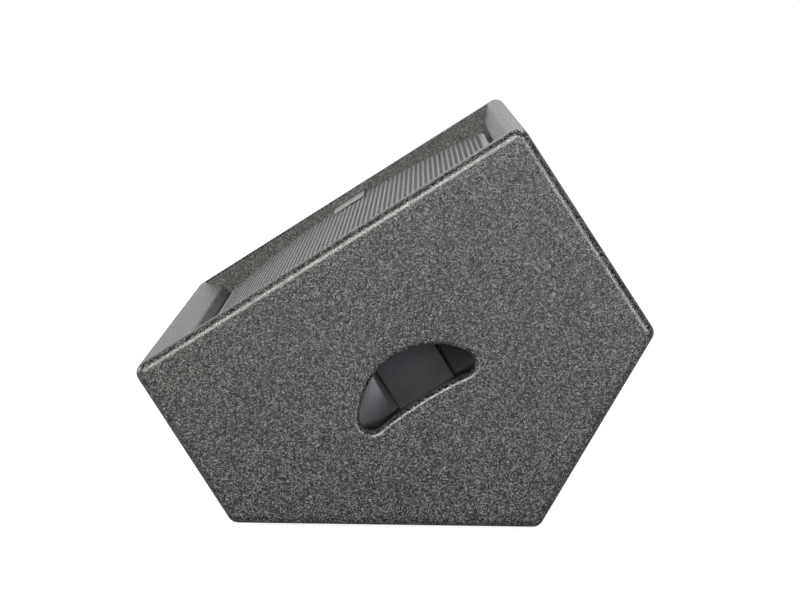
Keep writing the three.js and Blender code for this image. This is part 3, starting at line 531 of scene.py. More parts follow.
def skin(bm, rings, closed=False):
    """Faces between neighbouring rings of equal length. Closed joins the last ring to the first."""
    made = [[bm.verts.new(p) for p in ring] for ring in rings]
    following = made[1:] + made[:1] if closed else made[1:]
    for first, second in zip(made, following):
        for i in range(len(first)):
            j = (i + 1) % len(first)
            bm.faces.new((first[i], first[j], second[j], second[i]))
    return made


def fill_between(bm, *loops):
    """Triangles over the flat region bounded by some loops of vertices."""
    edges = []
    for loop in loops:
        for a, b in zip(loop, loop[1:] + loop[:1]):
            edges.append(bm.edges.get((a, b)) or bm.edges.new((a, b)))
    bmesh.ops.triangle_fill(bm, use_beauty=True, edges=edges)


def capped(rings):
    """A solid through some rings, with its first and last ring filled."""
    bm = bmesh.new()
    made = skin(bm, rings)
    fill_between(bm, made[0])
    fill_between(bm, made[-1])
    return bm


def soften(bm, width):
    """Rounds every sharp edge."""
    mend(bm)
    sharp = [e for e in bm.edges if e.is_manifold and e.calc_face_angle() > SHARP]
    bmesh.ops.bevel(bm, geom=sharp, offset=width, segments=3, profile=0.5, affect="EDGES", clamp_overlap=True)


def even_steps(start, end, count):
    return [start + (end - start) * i / count for i in range(count + 1)]


def quarter_turn(steps):
    """Shares that fall from 1 to 0 and rise from 0 to 1 along a quarter circle, in pairs."""
    return [(1 - math.sin(a), 1 - math.cos(a)) for a in even_steps(0, math.pi / 2, steps)]


def arc(cx, cy, radius, start, end, steps):
    """Points of an arc, from one angle to another in degrees."""
    angles = [math.radians(degrees) for degrees in even_steps(start, end, steps)]
    return [Vector((cx + radius * math.cos(a), cy + radius * math.sin(a))) for a in angles]


def circle(cx, cy, radius):
    return arc(cx, cy, radius, 0, 360 - 360 / CIRCLE_STEPS, CIRCLE_STEPS - 1)


def rounded(before, corner, after, radius, steps=8):
    """The arc that rounds one corner of an outline."""
    if radius <= 0:
        return [corner.copy()]
    to_before = (before - corner).normalized()
    to_after = (after - corner).normalized()
    half = to_before.angle(to_after) / 2
    centre = corner + (to_before + to_after).normalized() * radius / math.sin(half)
    start = corner + to_before * radius / math.tan(half) - centre
    end = corner + to_after * radius / math.tan(half) - centre
    turn = -start.angle_signed(end)
    return [centre + Matrix.Rotation(turn * i / steps, 2) @ start for i in range(steps + 1)]


def inset_corner(i, inset):
    """Corner i of the end panels' outline, moved inwards by the same distance from both its sides."""
    corner = OUTLINE[i]
    to_before = (OUTLINE[i - 1] - corner).normalized()
    to_after = (OUTLINE[(i + 1) % len(OUTLINE)] - corner).normalized()
    half = to_before.angle(to_after) / 2
    return corner + (to_before + to_after).normalized() * inset / math.sin(half)


def prism(outline, x0, x1):
    """A closed outline drawn out across the width."""
    return capped([across(x, outline) for x in (x0, x1)])


def rounded_rectangle(width, height, radius):
    corners = [Vector((i * width / 2, j * height / 2)) for i, j in ((-1, -1), (1, -1), (1, 1), (-1, 1))]
    points = []
    for i, corner in enumerate(corners):
        points += rounded(corners[i - 1], corner, corners[(i + 1) % 4], radius, 6)
    return points


def turned(profile, segments=CIRCLE_STEPS):
    """Turns a closed (radius, along) profile about Y."""
    bm = bmesh.new()
    angles = [2 * math.pi * i / segments for i in range(segments)]
    rings = [[Vector((r * math.sin(a), y, r * math.cos(a))) for r, y in profile] for a in angles]
    skin(bm, rings, closed=True)
    bmesh.ops.remove_doubles(bm, verts=bm.verts, dist=MERGE / 10)
    return bm


def upright_block(outline, z0, z1):
    """A closed outline drawn out along Z."""
    return capped([[Vector((p.x, p.y, z)) for p in outline] for z in (z0, z1)])


def block(width, depth, height, x=0.0, y=0.0, z=0.0, softened=0.0):
    """A box about a point."""
    bm = bmesh.new()
    size = Matrix.Diagonal((width, depth, height, 1))
    bmesh.ops.create_cube(bm, size=1, matrix=Matrix.Translation((x, y, z)) @ size)
    if softened:
        soften(bm, softened)
    return bm


def combined(body, tool, operation):
    """The UNION, DIFFERENCE or INTERSECT of two closed bmeshes, which are used up."""
    scratch = []
    for bm in (body, tool):
        bmesh.ops.recalc_face_normals(bm, faces=bm.faces)
        scratch.append(new_object("scratch", mesh_of("scratch", bm)))
    modifier = scratch[0].modifiers.new("combine", "BOOLEAN")
    modifier.object = scratch[1]
    modifier.operation = operation
    modifier.solver = "EXACT"
    result = bmesh.new()
    result.from_object(scratch[0], bpy.context.evaluated_depsgraph_get())
    for item in scratch:
        mesh = item.data
        bpy.data.objects.remove(item)
        bpy.data.meshes.remove(mesh)
    return result


def board_frame(x, origin, towards):
    """A frame on the outside of a sloping board: X across, Y along the board, Z square to it."""
    along = towards - origin
    return Matrix.Translation((x, *origin)) @ Matrix.Rotation(math.atan2(along.y, along.x), 4, "X")


# On the rear board Z points out of the cabinet. On the floor board it points in.
DISH_FRAME = board_frame(DISH["x"], (UPPER_REAR + HEEL) / 2, HEEL)
FLOOR_FRAME = board_frame(0, LOWER_REAR, HEEL)

# Turns that take a part drawn along Y to one that points along another axis.
ALONG_Z = Matrix.Rotation(math.pi / 2, 4, "X")
ALONG_MINUS_Z = Matrix.Rotation(-math.pi / 2, 4, "X")
ALONG_X = Matrix.Rotation(-math.pi / 2, 4, "Z")
ALONG_MINUS_X = Matrix.Rotation(math.pi / 2, 4, "Z")
HALF_TURN = Matrix.Rotation(math.pi, 4, "X")

# ---- end panels


def panel_ring(x, inset, softening=0.0):
    """One ring of an end panel: its outline moved inwards, and further inwards along the open front."""
    ring = []
    for i in range(len(OUTLINE)):
        corners = [inset_corner(k % len(OUTLINE), inset) for k in (i - 1, i, i + 1)]
        ring += rounded(*corners, EDGE_RADIUS - inset, ROUNDOVER_STEPS)
        if i == 0:
            ring += [Vector((inset, z)) for z in FRONT_STATIONS]
    for p in ring:
        if p.x < inset + MM and FRONT_STATIONS[0] < p.y < FRONT_STATIONS[-1]:
            p.x += softening
    return across(x, ring)


def hand_hole(offset):
    """The half-moon hand hole, grown by an offset."""
    height, big, end, span, end_y, waist = HANDLE.values()
    rise = math.sqrt((big - end) ** 2 - span ** 2)
    meet = math.degrees(math.atan2(rise, span))
    waist_y = end_y + math.sqrt((waist + end) ** 2 - span ** 2)
    lean = math.degrees(math.asin(span / (waist + end)))
    upper = arc(height + span, end_y, end + offset, -meet, 90 + lean, 12)
    rear = arc(height, waist_y, waist - offset, 270 + lean, 270 - lean, 16)
    lower = arc(height - span, end_y, end + offset, 90 - lean, 180 + meet, 12)
    front = arc(height, end_y + rise, big + offset, 180 + meet, 360 - meet, 36)
    return [Vector((p.y, p.x)) for p in upper + rear[1:-1] + lower + front[1:-1]]


def pole_hole(offset):
    return circle(POLE["y"], POLE["z"], POLE["bore"] + POLE["wall"] + GAP + offset)


def end_panel(name, side, hole, hole_roundover):
    """An end panel on one side: a full roundover on its outer face, and a small one round its hole."""
    bm = bmesh.new()
    rings = [panel_ring(side * INSIDE, 0, FRONT_SOFTENING), panel_ring(side * (INSIDE + FRONT_SOFTENING), 0)]
    for fall, rise in quarter_turn(ROUNDOVER_STEPS):
        rings.append(panel_ring(side * (HALF - FACE_ROUNDOVER * fall), FACE_ROUNDOVER * rise))
    made = skin(bm, rings)

    shrink = HOLE_SHRINK if hole_roundover > GAP else 0
    rings = [across(side * INSIDE, hole(-shrink))]
    for fall, rise in quarter_turn(ROUNDOVER_STEPS):
        rings.append(across(side * (HALF - hole_roundover * fall), hole(hole_roundover * rise - shrink)))
    made_hole = skin(bm, rings)
    fill_between(bm, made[0], made_hole[0])
    fill_between(bm, made[-1], made_hole[-1])
    node = "handle_side_panel" if side > 0 else "pole_side_panel"
    add_piece(name, bm, "textured_paint", [node])


# ---- boards and lips

# The bevelled lip from the front edge back to the baffle, as (depth, distance from the end, rounding).
LIP_PROFILE = [
    (0.0, BOARD, 0.004),
    (LIP_BEVEL, BOARD + LIP_BEVEL, 0.0075),
    (BAFFLE_DEPTH - GAP, BOARD + LIP_BEVEL + MM, 0.0),
    (BAFFLE_DEPTH - GAP, BOARD, 0.0)]


def corner_arc(i):
    """The arc on corner i of the panels' outline."""
    corners = [OUTLINE[k % len(OUTLINE)] for k in (i - 1, i, i + 1)]
    return rounded(*corners, EDGE_RADIUS, CORNER_STEPS)


def half_corner(i, start):
    """The half of corner i's arc after or before the middle, where two boards are mitred together."""
    middle = CORNER_STEPS // 2
    return corner_arc(i)[middle:] if start else corner_arc(i)[:middle + 1]


def lipped_board(name, front, rear, nodes):
    """The top or bottom board with the lip strip behind its front edge, painted over as one."""
    upper = OUTLINE[front] is UPPER_FRONT
    height = (lambda z: FRONT - z) if upper else (lambda z: z)
    corners = [Vector((y, height(z))) for y, z, _ in LIP_PROFILE]
    flat_end = Vector((0, height(EDGE_RADIUS)))
    lip = rounded(flat_end, corners[0], corners[1], LIP_PROFILE[0][2])
    lip += rounded(corners[0], corners[1], corners[2], LIP_PROFILE[1][2], CORNER_STEPS)
    lip += corners[2:] + [inset_corner(rear, BOARD)]
    arcs = [half_corner(rear, start=not upper), corner_arc(front)]
    for points in arcs:
        lip += points[::-1] if upper else points
    add_piece(name, prism(lip, -INSIDE, INSIDE), "textured_paint", nodes)


def mitred_board(i):
    """The outline of a board between the middles of corners i and i + 1."""
    j = (i + 1) % len(OUTLINE)
    return half_corner(i, True) + half_corner(j, False) + [inset_corner(j, BOARD), inset_corner(i, BOARD)]


def add_boards():
    lipped_board("top_board_with_lip", 1, 2, ["top_board", "upper_lip_strip"])
    lipped_board("bottom_board_with_lip", 0, 4, ["bottom_board", "lower_lip_strip"])
    add_piece("floor_panel", prism(mitred_board(3), -INSIDE, INSIDE), "textured_paint", ["floor_board"])
    mouth = rounded_rectangle(DISH["width"] + 2 * GAP, DISH["height"] + 2 * GAP, DISH["tub_corner"])
    opening = upright_block(mouth, -2 * BOARD, 2 * BOARD)
    opening.transform(DISH_FRAME)
    rear = combined(prism(mitred_board(2), -INSIDE, INSIDE), opening, "DIFFERENCE")
    add_piece("rear_panel", rear, "textured_paint", ["rear_board"])


# ---- grille, foam and badge

HALF_CHORD = FRONT / 2 - GRILLE_END_MARGIN
BOW_RADIUS = (HALF_CHORD ** 2 + GRILLE_BOW ** 2) / (2 * GRILLE_BOW)
HALF_BOW = math.asin(HALF_CHORD / BOW_RADIUS)
FOLD_START = BOW_RADIUS * HALF_BOW - FOLD_RADIUS


def bowed(along, offset=0.0):
    """The (depth, height) of a point of the bowed sheet, by its distance along the bow from the middle."""
    angle = along / BOW_RADIUS
    reach = BOW_RADIUS - offset
    depth = GRILLE_END_DEPTH - GRILLE_BOW + BOW_RADIUS - reach * math.cos(angle)
    return Vector((depth, FRONT / 2 + reach * math.sin(angle)))


def folded(along):
    """As bowed, but past either end the sheet folds round a small radius and runs back to the baffle."""
    over = abs(along) - FOLD_START
    if over <= 0:
        return bowed(along)
    end = bowed(FOLD_START)
    tangent = (bowed(FOLD_START + MM) - end).normalized()
    heading = math.atan2(tangent.x, tangent.y)
    bend = math.pi / 2 - heading
    turned_by = min(over / FOLD_RADIUS, bend)
    centre = end + FOLD_RADIUS * Vector((math.cos(heading), -math.sin(heading)))
    point = centre + FOLD_RADIUS * Vector((-math.cos(heading + turned_by), math.sin(heading + turned_by)))
    point.x += max(0.0, over - bend * FOLD_RADIUS)
    return point if along > 0 else Vector((point.x, FRONT - point.y))


class FlatSheet:
    """A sheet drawn flat as (x, distance along the bow), whose vertices are shared by place."""

    def __init__(self):
        self.bm = bmesh.new()
        self.known = {}

    def vertex(self, x, along):
        key = (round(x / MM, 3), round(along / MM, 3))
        if key not in self.known:
            self.known[key] = self.bm.verts.new((x, *folded(along)))
        return self.known[key]

    def face(self, *points):
        self.bm.faces.new([self.vertex(*p) for p in points])

    def bridge(self, first, second):
        """Quads between two lines of points that run side by side."""
        for a, b, c, d in zip(first, first[1:], second[1:], second):
            self.face(a, b, c, d)


CELL_SIDE = HOLE_PITCH / math.sqrt(3)
CELL_RISE = CELL_SIDE * 1.5
GRILLE_EDGE = INSIDE - 2 * GAP


def cell_centre(column, row):
    first = -(GRILLE_COLUMNS + 0.5) / 2
    x = (first + column + 0.5 + (row % 2) / 2) * HOLE_PITCH
    return x, (row - (GRILLE_ROWS - 1) / 2) * CELL_RISE


def add_cell(sheet, column, row):
    """One hexagonal cell of steel round its hole."""
    cx, cz = cell_centre(column, row)

    def polar(radius, degrees):
        a = math.radians(degrees)
        return cx + radius * math.cos(a), cz + radius * math.sin(a)

    for k in range(6):
        a = 90 + 60 * k
        sheet.face(
            polar(CELL_SIDE, a), polar(HOLE_RADIUS, a), polar(HOLE_RADIUS, a + 30),
            polar(HOLE_RADIUS, a + 60), polar(CELL_SIDE, a + 60))


def grille_rim(sheet, first, last):
    """The plain rim and the folded ends of the columns from first to last."""
    leg = BAFFLE_DEPTH - GAP - GRILLE_END_DEPTH
    sides = [(first, -1)] * (first == 0) + [(last, 1)] * (last == GRILLE_COLUMNS)
    for end, row in ((-1, 0), (1, GRILLE_ROWS - 1)):
        x0, along = cell_centre(first, row)
        zigzag = [
            (x0 + (i - 1) * HOLE_PITCH / 2, along + end * CELL_SIDE * (0.5 if i % 2 == 0 else 1))
            for i in range(2 * (last - first) + 1)]
        line = [(x, end * FOLD_START) for x, _ in zigzag]
        sheet.bridge(zigzag, line)
        for _, side in sides:
            corner = (side * GRILLE_EDGE, end * FOLD_START)
            near = 0 if side < 0 else -1
            sheet.face(zigzag[near], line[near], corner, (corner[0], zigzag[near][1]))
            line.insert(0 if side < 0 else len(line), corner)
        stations = even_steps(FOLD_START, FOLD_START + FOLD_RADIUS * 1.5, 6) + [FOLD_START + leg]
        for a, b in zip(stations, stations[1:]):
            sheet.bridge([(x, end * a) for x, _ in line], [(x, end * b) for x, _ in line])
    for column, side in sides:
        edge = []
        for row in range(GRILLE_ROWS):
            x, along = cell_centre(column - (side > 0), row)
            edge += [(x + side * HOLE_PITCH / 2, along + s * CELL_SIDE / 2) for s in (-1, 1)]
        sheet.bridge(edge, [(side * GRILLE_EDGE, along) for _, along in edge])


def add_grille():
    """The bowed steel sheet with staggered round holes, in two halves that meet along a line of cells."""
    middle = GRILLE_COLUMNS // 2
    for name, first, last in (("left", 0, middle), ("right", middle, GRILLE_COLUMNS)):
        sheet = FlatSheet()
        for row in range(GRILLE_ROWS):
            for column in range(first, last):
                add_cell(sheet, column, row)
        grille_rim(sheet, first, last)
        bmesh.ops.recalc_face_normals(sheet.bm, faces=sheet.bm.faces)
        bmesh.ops.solidify(sheet.bm, geom=sheet.bm.faces, thickness=GRILLE_SHEET)
        add_piece(f"grille_sheet_{name}", sheet.bm, "grille_steel", ["grille"], crease=50, weighted=False)


def add_badge():
    """A plain plate with softened edges, clear of the end panel."""
    x0 = BADGE["from_panel"] - INSIDE
    stations = even_steps(-BADGE["height"] / 2, BADGE["height"] / 2, 8)
    front = [bowed(s, -GAP - BADGE["thickness"]) for s in stations]
    back = [bowed(s, -GAP) for s in reversed(stations)]
    bm = prism(front + back, x0, x0 + BADGE["width"])
    soften(bm, BADGE["edge"])
    add_piece("badge_plate_plain", bm, "badge_metal", ["badge_plate"])


def add_foam():
    depth = GRILLE_SHEET + GAP
    half = BOW_RADIUS * HALF_BOW - depth - 2 * GAP
    stations = even_steps(-half, half, 48)
    outline = [bowed(s, depth) for s in stations]
    outline += [bowed(s, depth + FOAM) for s in reversed(stations)]
    sheet = prism(outline, -INSIDE + 2 * GAP, INSIDE - 2 * GAP)
    foam = add_piece("foam_sheet", sheet, "foam_backing", ["grille_foam"])


# ---- hand bowl


def bowl_targets(outline):
    """Where each point of the bowl's mouth comes down on its floor, which is shorter than the mouth."""
    height, big, end, span, end_y, waist = HANDLE.values()
    arc_y = end_y + math.sqrt((big - end) ** 2 - span ** 2)
    rear_y = end_y + math.sqrt((waist + end) ** 2 - span ** 2) - waist
    targets = []
    for p in outline:
        z = min(max(p.y, STEP["from"] - STEP["ledge"]), STEP["to"])
        front_y = arc_y - math.sqrt(big ** 2 - (z - height) ** 2) + BOWL["front_set"]
        share = min(max((p.x - front_y) / (rear_y - front_y), 0), 1)
        targets.append(Vector((front_y + share * (rear_y + BOWL["rear_set"] - front_y), z)))
    return targets


def add_hand_bowl():
    """A moulded bowl behind the end panel, with a flange, scooped ends and a plain raised step."""
    face = INSIDE - GAP
    clear, lip, scoop = (BOWL[k] for k in ("clear", "lip", "scoop"))
    mouth = hand_hole(clear)
    targets = bowl_targets(mouth)
    rings = [across(face, hand_hole(offset)) for offset in (BOWL["flange"], clear + lip)]
    for fall, rise in quarter_turn(4)[1:]:
        rings.append(across(face - lip * rise, hand_hole(clear + lip * fall)))
    floor_x = face - BOWL["depth"] + BOWL["wall"]
    scoop_x = floor_x + scoop
    for travel in even_steps(0, 1, 20):
        x = scoop_x - scoop * (1 - (1 - travel) ** BOWL["scoop_power"])
        rings.append(across(x, [m.lerp(t, travel) for m, t in zip(mouth, targets)]))
    bm = bmesh.new()
    skin(bm, rings)
    bmesh.ops.remove_doubles(bm, verts=bm.verts, dist=BOWL["merge"])
    floor_edges = [e for e in bm.edges if e.is_boundary and max(v.co.x for v in e.verts) < scoop_x]
    bmesh.ops.triangle_fill(bm, use_beauty=True, edges=floor_edges)
    bmesh.ops.recalc_face_normals(bm, faces=bm.faces)
    deepest = min(bm.faces, key=lambda f: f.calc_center_median().x)
    if deepest.normal.x < 0:
        bmesh.ops.reverse_faces(bm, faces=bm.faces)
    bmesh.ops.solidify(bm, geom=bm.faces, thickness=BOWL["wall"])
    length = STEP["to"] - STEP["from"]
    middle = (STEP["from"] + STEP["to"]) / 2
    step_x = floor_x + (STEP["height"] - MM) / 2
    step = block(STEP["height"] + MM, STEP["width"], length, step_x, STEP["y"], middle, STEP["edge"])
    inner_wall = [m.lerp(t, 0.5) for m, t in zip(hand_hole(clear + lip), targets)]
    fitted = combined(step, prism(inner_wall, floor_x - MM, face), "INTERSECT")
    add_piece("hand_bowl", combined(bm, fitted, "UNION"), "moulded_plastic", ["handle_bowl"], crease=35)


# ---- fasteners and feet


def screw_head(radius):
    """A pan head with a cross recess, standing on Y = 0 and facing +Y."""
    height = radius * 0.55
    angles = even_steps(0, math.pi / 2, 8)
    rim = [(radius * math.cos(a), height * (0.25 + 0.75 * math.sin(a))) for a in angles]
    head = turned([(0, 0), (radius, 0)] + rim[:-1] + [(0, height)], 32)
    for turn in (0, math.pi / 2):
        slot = block(radius * 1.1, height * 1.2, radius * 0.24, 0, height * 1.05, 0)
        slot.transform(Matrix.Rotation(turn, 4, "Y"))
        head = combined(head, slot, "DIFFERENCE")
    return head


def add_foot(name, place, radius, height):
    """A rubber foot with a recessed screw, drawn along Y from its seat."""
    well = radius * 0.42
    rim = [(radius - FOOT_EDGE * rise, height - FOOT_EDGE * fall) for fall, rise in quarter_turn(5)]
    inner = [(well + MM * fall, height - MM * rise) for fall, rise in quarter_turn(4)]
    bottom = height * 0.35
    profile = [(0, 0), (radius - MM / 2, 0), (radius, MM / 2)] + rim + inner + [(well, bottom), (0, bottom)]
    add_piece(f"{name}_rubber", turned(profile), "rubber", [name], place=place)
    screw_place = place @ Matrix.Translation((0, bottom, 0))
    add_piece(f"{name}_screw_head", screw_head(well * 0.75), "zinc_steel", place=screw_place)


def add_feet():
    length = (HEEL - LOWER_REAR).length
    places = [(side * FOOT["x"], y) for side in (-1, 1) for y in (FOOT["inset"], length - FOOT["inset"])]
    for i, (x, y) in enumerate(places, 1):
        place = FLOOR_FRAME @ Matrix.Translation((x, y, -GAP)) @ ALONG_MINUS_Z
        add_foot(f"floor_foot_{i}", place, FOOT["radius"], FOOT["height"])
    for i, (y, z) in enumerate(END_FOOT_PLACES, 1):
        place = Matrix.Translation((-HALF - GAP, y, z)) @ ALONG_MINUS_X
        add_foot(f"end_foot_{i}", place, END_FOOT["radius"], END_FOOT["height"])


def add_pole_socket():
    """The cup for a speaker pole, with a raised bead round its bore and four screws in its flange."""
    bore, wall, flange, thick, depth = (POLE[k] for k in ("bore", "wall", "flange", "thick", "depth"))
    rim = [(flange - POLE_EDGE * rise, POLE_EDGE * fall) for fall, rise in quarter_turn(5)]
    bead = [(bore + BEAD_DISTANCE + BEAD_HALF_WIDTH * math.cos(a), -BEAD_HEIGHT * math.sin(a))
            for a in even_steps(0, math.pi, 8)]
    profile = [(0, depth - wall), (bore, depth - wall), (bore, POLE_CHAMFER), (bore + POLE_CHAMFER, 0)]
    profile += bead[::-1] + rim[::-1] + [(flange, thick), (bore + wall, thick)]
    profile += [(bore + wall, depth), (0, depth)]
    place = Matrix.Translation((-HALF - GAP - thick, POLE["y"], POLE["z"])) @ ALONG_X
    add_piece("pole_cup", turned(profile, 96), "moulded_plastic", ["pole_socket"], place=place)
    for i in range(4):
        turn = Matrix.Rotation(math.pi / 4 + i * math.pi / 2, 4, "Y")
        seat = place @ turn @ Matrix.Translation((flange * POLE_SCREW_CIRCLE, 0, 0)) @ HALF_TURN
        add_piece(f"pole_cup_screw_{i + 1}", screw_head(POLE_SCREW), "zinc_steel", place=seat)


# ---- connector dish


def dish_ring(inset, corner, z):
    """A ring of the dish, inset from the tub's outside."""
    outline = rounded_rectangle(DISH["width"] - 2 * inset, DISH["height"] - 2 * inset, corner)
    return [Vector((p.x, p.y, z)) for p in outline]


def socket_x(place):
    return place * SOCKET["spacing"]


def add_dish():
    """The recessed tray, with round holes for its two sockets and the switch shaft."""
    depth, wall, rim, top = (DISH[k] for k in ("depth", "wall", "rim", "flange"))
    fillet, corner, tub_corner = (DISH[k] for k in ("fillet", "corner", "tub_corner"))
    floor = wall - depth
    rings = []
    for fall, rise in quarter_turn(5):
        rings.append(dish_ring(wall + fillet * fall, corner - fillet * fall, floor + fillet * rise))
    for fall, rise in quarter_turn(4):
        rings.append(dish_ring(wall - MM * rise, corner + MM * rise, top - MM * fall))
    for fall, rise in quarter_turn(4):
        rings.append(dish_ring(MM * fall - rim, corner - MM * fall, top - MM * rise))
    rings += [dish_ring(-rim, corner, GAP), dish_ring(0, tub_corner, GAP)]
    rings += [dish_ring(0, tub_corner, MM - depth), dish_ring(MM, tub_corner - MM, -depth)]
    bm = capped(rings)
    socket_hole = SOCKET["radius"] + GAP
    for place, radius in ((-1, socket_hole), (0, socket_hole), (1, DISH["shaft"])):
        drill = upright_block(circle(socket_x(place), 0, radius), floor - 0.02, floor + 0.01)
        bm = combined(bm, drill, "DIFFERENCE")
    add_piece("connector_tray", bm, "moulded_plastic", ["connector_dish"], place=DISH_FRAME, crease=35)

    for i, (side, end) in enumerate(((-1, -1), (1, -1), (1, 1), (-1, 1)), 1):
        spot = Vector((side * (DISH["width"] + rim) / 2, end * (DISH["height"] + rim) / 2, top))
        place = DISH_FRAME @ Matrix.Translation(spot) @ ALONG_Z
        add_piece(f"tray_screw_{i}", screw_head(DISH["screw"]), "zinc_steel", place=place)
    for i, degrees in enumerate(DIAL_DEGREES, 1):
        turn = Matrix.Translation((socket_x(1), 0, floor)) @ Matrix.Rotation(math.radians(degrees), 4, "Z")
        tick = block(*DIAL_TICK, DIAL_RADIUS, 0, TICK_LIFT, TICK_EDGE)
        add_piece(f"dial_tick_{i}", tick, "badge_metal", place=DISH_FRAME @ turn)


def add_sockets():
    """Two round locking sockets: a flanged cup with keyways in its bore and contacts on its wall."""
    seat = DISH["wall"] + GAP - DISH["depth"]
    outer, bore, length, flange = (SOCKET[k] for k in ("radius", "bore", "length", "flange"))
    edge, floor = SOCKET["edge"], SOCKET["floor"] - length
    collar = outer + SOCKET["collar"]
    profile = [
        (0, floor), (bore, floor), (bore, flange - edge), (bore + edge, flange), (collar - edge, flange),
        (collar, flange - edge), (collar, 0), (outer, 0), (outer, -length), (0, -length)]
    for name, place in (("in", -1), ("link", 0)):
        frame_here = DISH_FRAME @ Matrix.Translation((socket_x(place), 0, seat))
        cup = turned(profile, 72)
        cup.transform(ALONG_Z)
        for degrees, width in KEYWAYS:
            key = block(KEYWAY_DEPTH, width, KEYWAY_LENGTH, bore, 0, flange - KEYWAY_DEPTH)
            key.transform(Matrix.Rotation(math.radians(degrees), 4, "Z"))
            cup = combined(cup, key, "DIFFERENCE")
        node = f"speaker_socket_{name}"
        add_piece(f"socket_{name}_shell", cup, "moulded_plastic", [node], place=frame_here)
        for i in range(4):
            turn = Matrix.Rotation(math.pi / 4 + i * math.pi / 2, 4, "Z")
            strip = block(*CONTACT_SIZE, bore - CONTACT_SINK, 0, CONTACT_MIDDLE - length, CONTACT_EDGE)
            add_piece(f"socket_{name}_contact_{i + 1}", strip, "zinc_steel", place=frame_here @ turn)


def add_knob():
    """The fluted mode knob, with a pointer and a light line along it."""
    seat = DISH["wall"] - DISH["depth"] + KNOB_LIFT
    low, high, height, flutes = KNOB.values()

    def ring(radius, z, depth):
        angles = [2 * math.pi * i / (flutes * 8) for i in range(flutes * 8)]
        reaches = [radius - depth * max(0.0, math.cos(a * flutes)) for a in angles]
        return [Vector((r * math.cos(a), r * math.sin(a), z)) for a, r in zip(angles, reaches)]

    rings = [ring(KNOB_BORE, KNOB_BORE_DEPTH, 0), ring(KNOB_BORE, 0, 0)]
    rings += [ring(low - KNOB_EDGE, 0, KNOB_GROOVE), ring(low, KNOB_EDGE, KNOB_GROOVE)]
    rings += [ring(high - inward, height - down, KNOB_GROOVE * left) for inward, down, left in KNOB_RIM]
    pointer = block(*POINTER["size"], 0, -POINTER["out"], height + POINTER["lift"], POINTER["edge"])
    place = DISH_FRAME @ Matrix.Translation((socket_x(1), 0, seat))
    knob = combined(capped(rings), pointer, "UNION")
    add_piece("fluted_knob", knob, "moulded_plastic", ["mode_knob"], "mode_knob_assembly", place)
    line = block(*POINTER_LINE["size"], 0, -POINTER_LINE["out"], height + POINTER_LINE["lift"])
    add_piece("knob_pointer_line", line, "badge_metal", (), "mode_knob_assembly", place)


# ---- woofer suspension

WOOFER_FRAME = Matrix.Translation((WOOFER["x"], BAFFLE_DEPTH, WOOFER["z"]))


def add_suspension(name, profile, slot, node, inner, outer):
    """A ring whose outer edge stays with the cabinet while its inner edge moves with the cone."""
    piece = add_piece(name, turned(profile, 96), slot, [node], None, WOOFER_FRAME, weighted=False)
    place = CABINET @ WOOFER_FRAME
    centre = place.translation
    axis = place.to_3x3() @ Vector((0, 1, 0))
    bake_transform(piece, "cabinet", "woofer_cone_assembly", start=centre - axis, end=centre + axis)
    for vertex, weight in zip(piece.data.vertices, piece.data.attributes["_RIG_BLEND"].data):
        away = vertex.co - centre
        radius = (away - axis * away.dot(axis)).length
        share = min(max((outer - radius) / (outer - inner), 0), 1)
        weight.value = share * share * (3 - 2 * share)


def add_woofer_suspension():
    middle, land, half = (SURROUND[k] for k in ("middle", "depth", "half_thickness"))
    cone_edge, rim_edge = SURROUND["cone_edge"], SURROUND["rim_edge"]
    moves, stays = SURROUND["moves"], SURROUND["stays"]

    def roll(radius, start, end):
        return [(p.x, p.y) for p in arc(middle, land, radius, start, end, 16)]

    surround = [(cone_edge, land + half), (cone_edge, land - half)] + roll(SURROUND["front"], 184, 356)
    surround += [(rim_edge, land - half), (rim_edge, land + half)] + roll(SURROUND["back"], 354, 186)
    add_suspension("rubber_surround", surround, "rubber", "woofer_surround", moves, stays)

    inner, outer, pleats = (SPIDER[k] for k in ("inner", "outer", "pleats"))
    phases = even_steps(0, math.pi * pleats, pleats * 8)
    heights = [SPIDER["depth"] - SPIDER["wave"] * math.cos(phase) for phase in phases]
    face = list(zip(even_steps(inner, outer, pleats * 8), heights))
    back = [(radius, along + SPIDER["thickness"]) for radius, along in reversed(face)]
    moves, stays = inner + SPIDER_CLAMP, outer - SPIDER_CLAMP
    add_suspension("pleated_spider", face + back, "amber_cloth", "woofer_spider", moves, stays)


def resampled(outline, count):
    """A closed outline with its points spread evenly."""
    lengths = [(b - a).length for a, b in zip(outline, outline[1:] + outline[:1])]
    points = []
    side, start = 0, 0.0
    for i in range(count):
        wanted = sum(lengths) * i / count
        while start + lengths[side] < wanted:
            start += lengths[side]
            side += 1
        share = (wanted - start) / lengths[side]
        points.append(outline[side].lerp(outline[(side + 1) % len(outline)], share))
    return points


def add_wadding():
    """A crowned pad of wool with soft edges and lumps, flat where it lies against the rear board."""
    width, height, thickness, corner = (WADDING[k] for k in ("width", "height", "thickness", "corner"))
    sides = [(WADDING_EDGE * fall, rise / 2) for fall, rise in quarter_turn(6)]
    crown = [(WADDING_CROWN * t, 0.5 + 0.5 * math.sqrt(1 - (1 - t) ** 2)) for t in even_steps(0, 1, 12)[1:]]
    rings = []
    for inset, rise in sides + crown:
        outline = rounded_rectangle(width - 2 * inset, height - 2 * inset, max(corner - inset, 0.003))
        ring = [Vector((p.x, p.y, 0)) for p in resampled(outline, 120)]
        rings.append([p + Vector((0, 0, -BOARD - GAP - thickness * rise * (1 - lump(p)))) for p in ring])
    frame_here = board_frame(WADDING["x"], (UPPER_REAR + HEEL) / 2, HEEL)
    pad = add_piece("wool_pad", capped(rings), "wool", ["damping_wadding"], place=frame_here)


def lump(p):
    """A share of the pad's thickness by which it dips at a point."""
    return 0.10 + 0.10 * noise.noise(p * 45) + 0.05 * noise.noise(p * 130)


# ---- CAD nodes

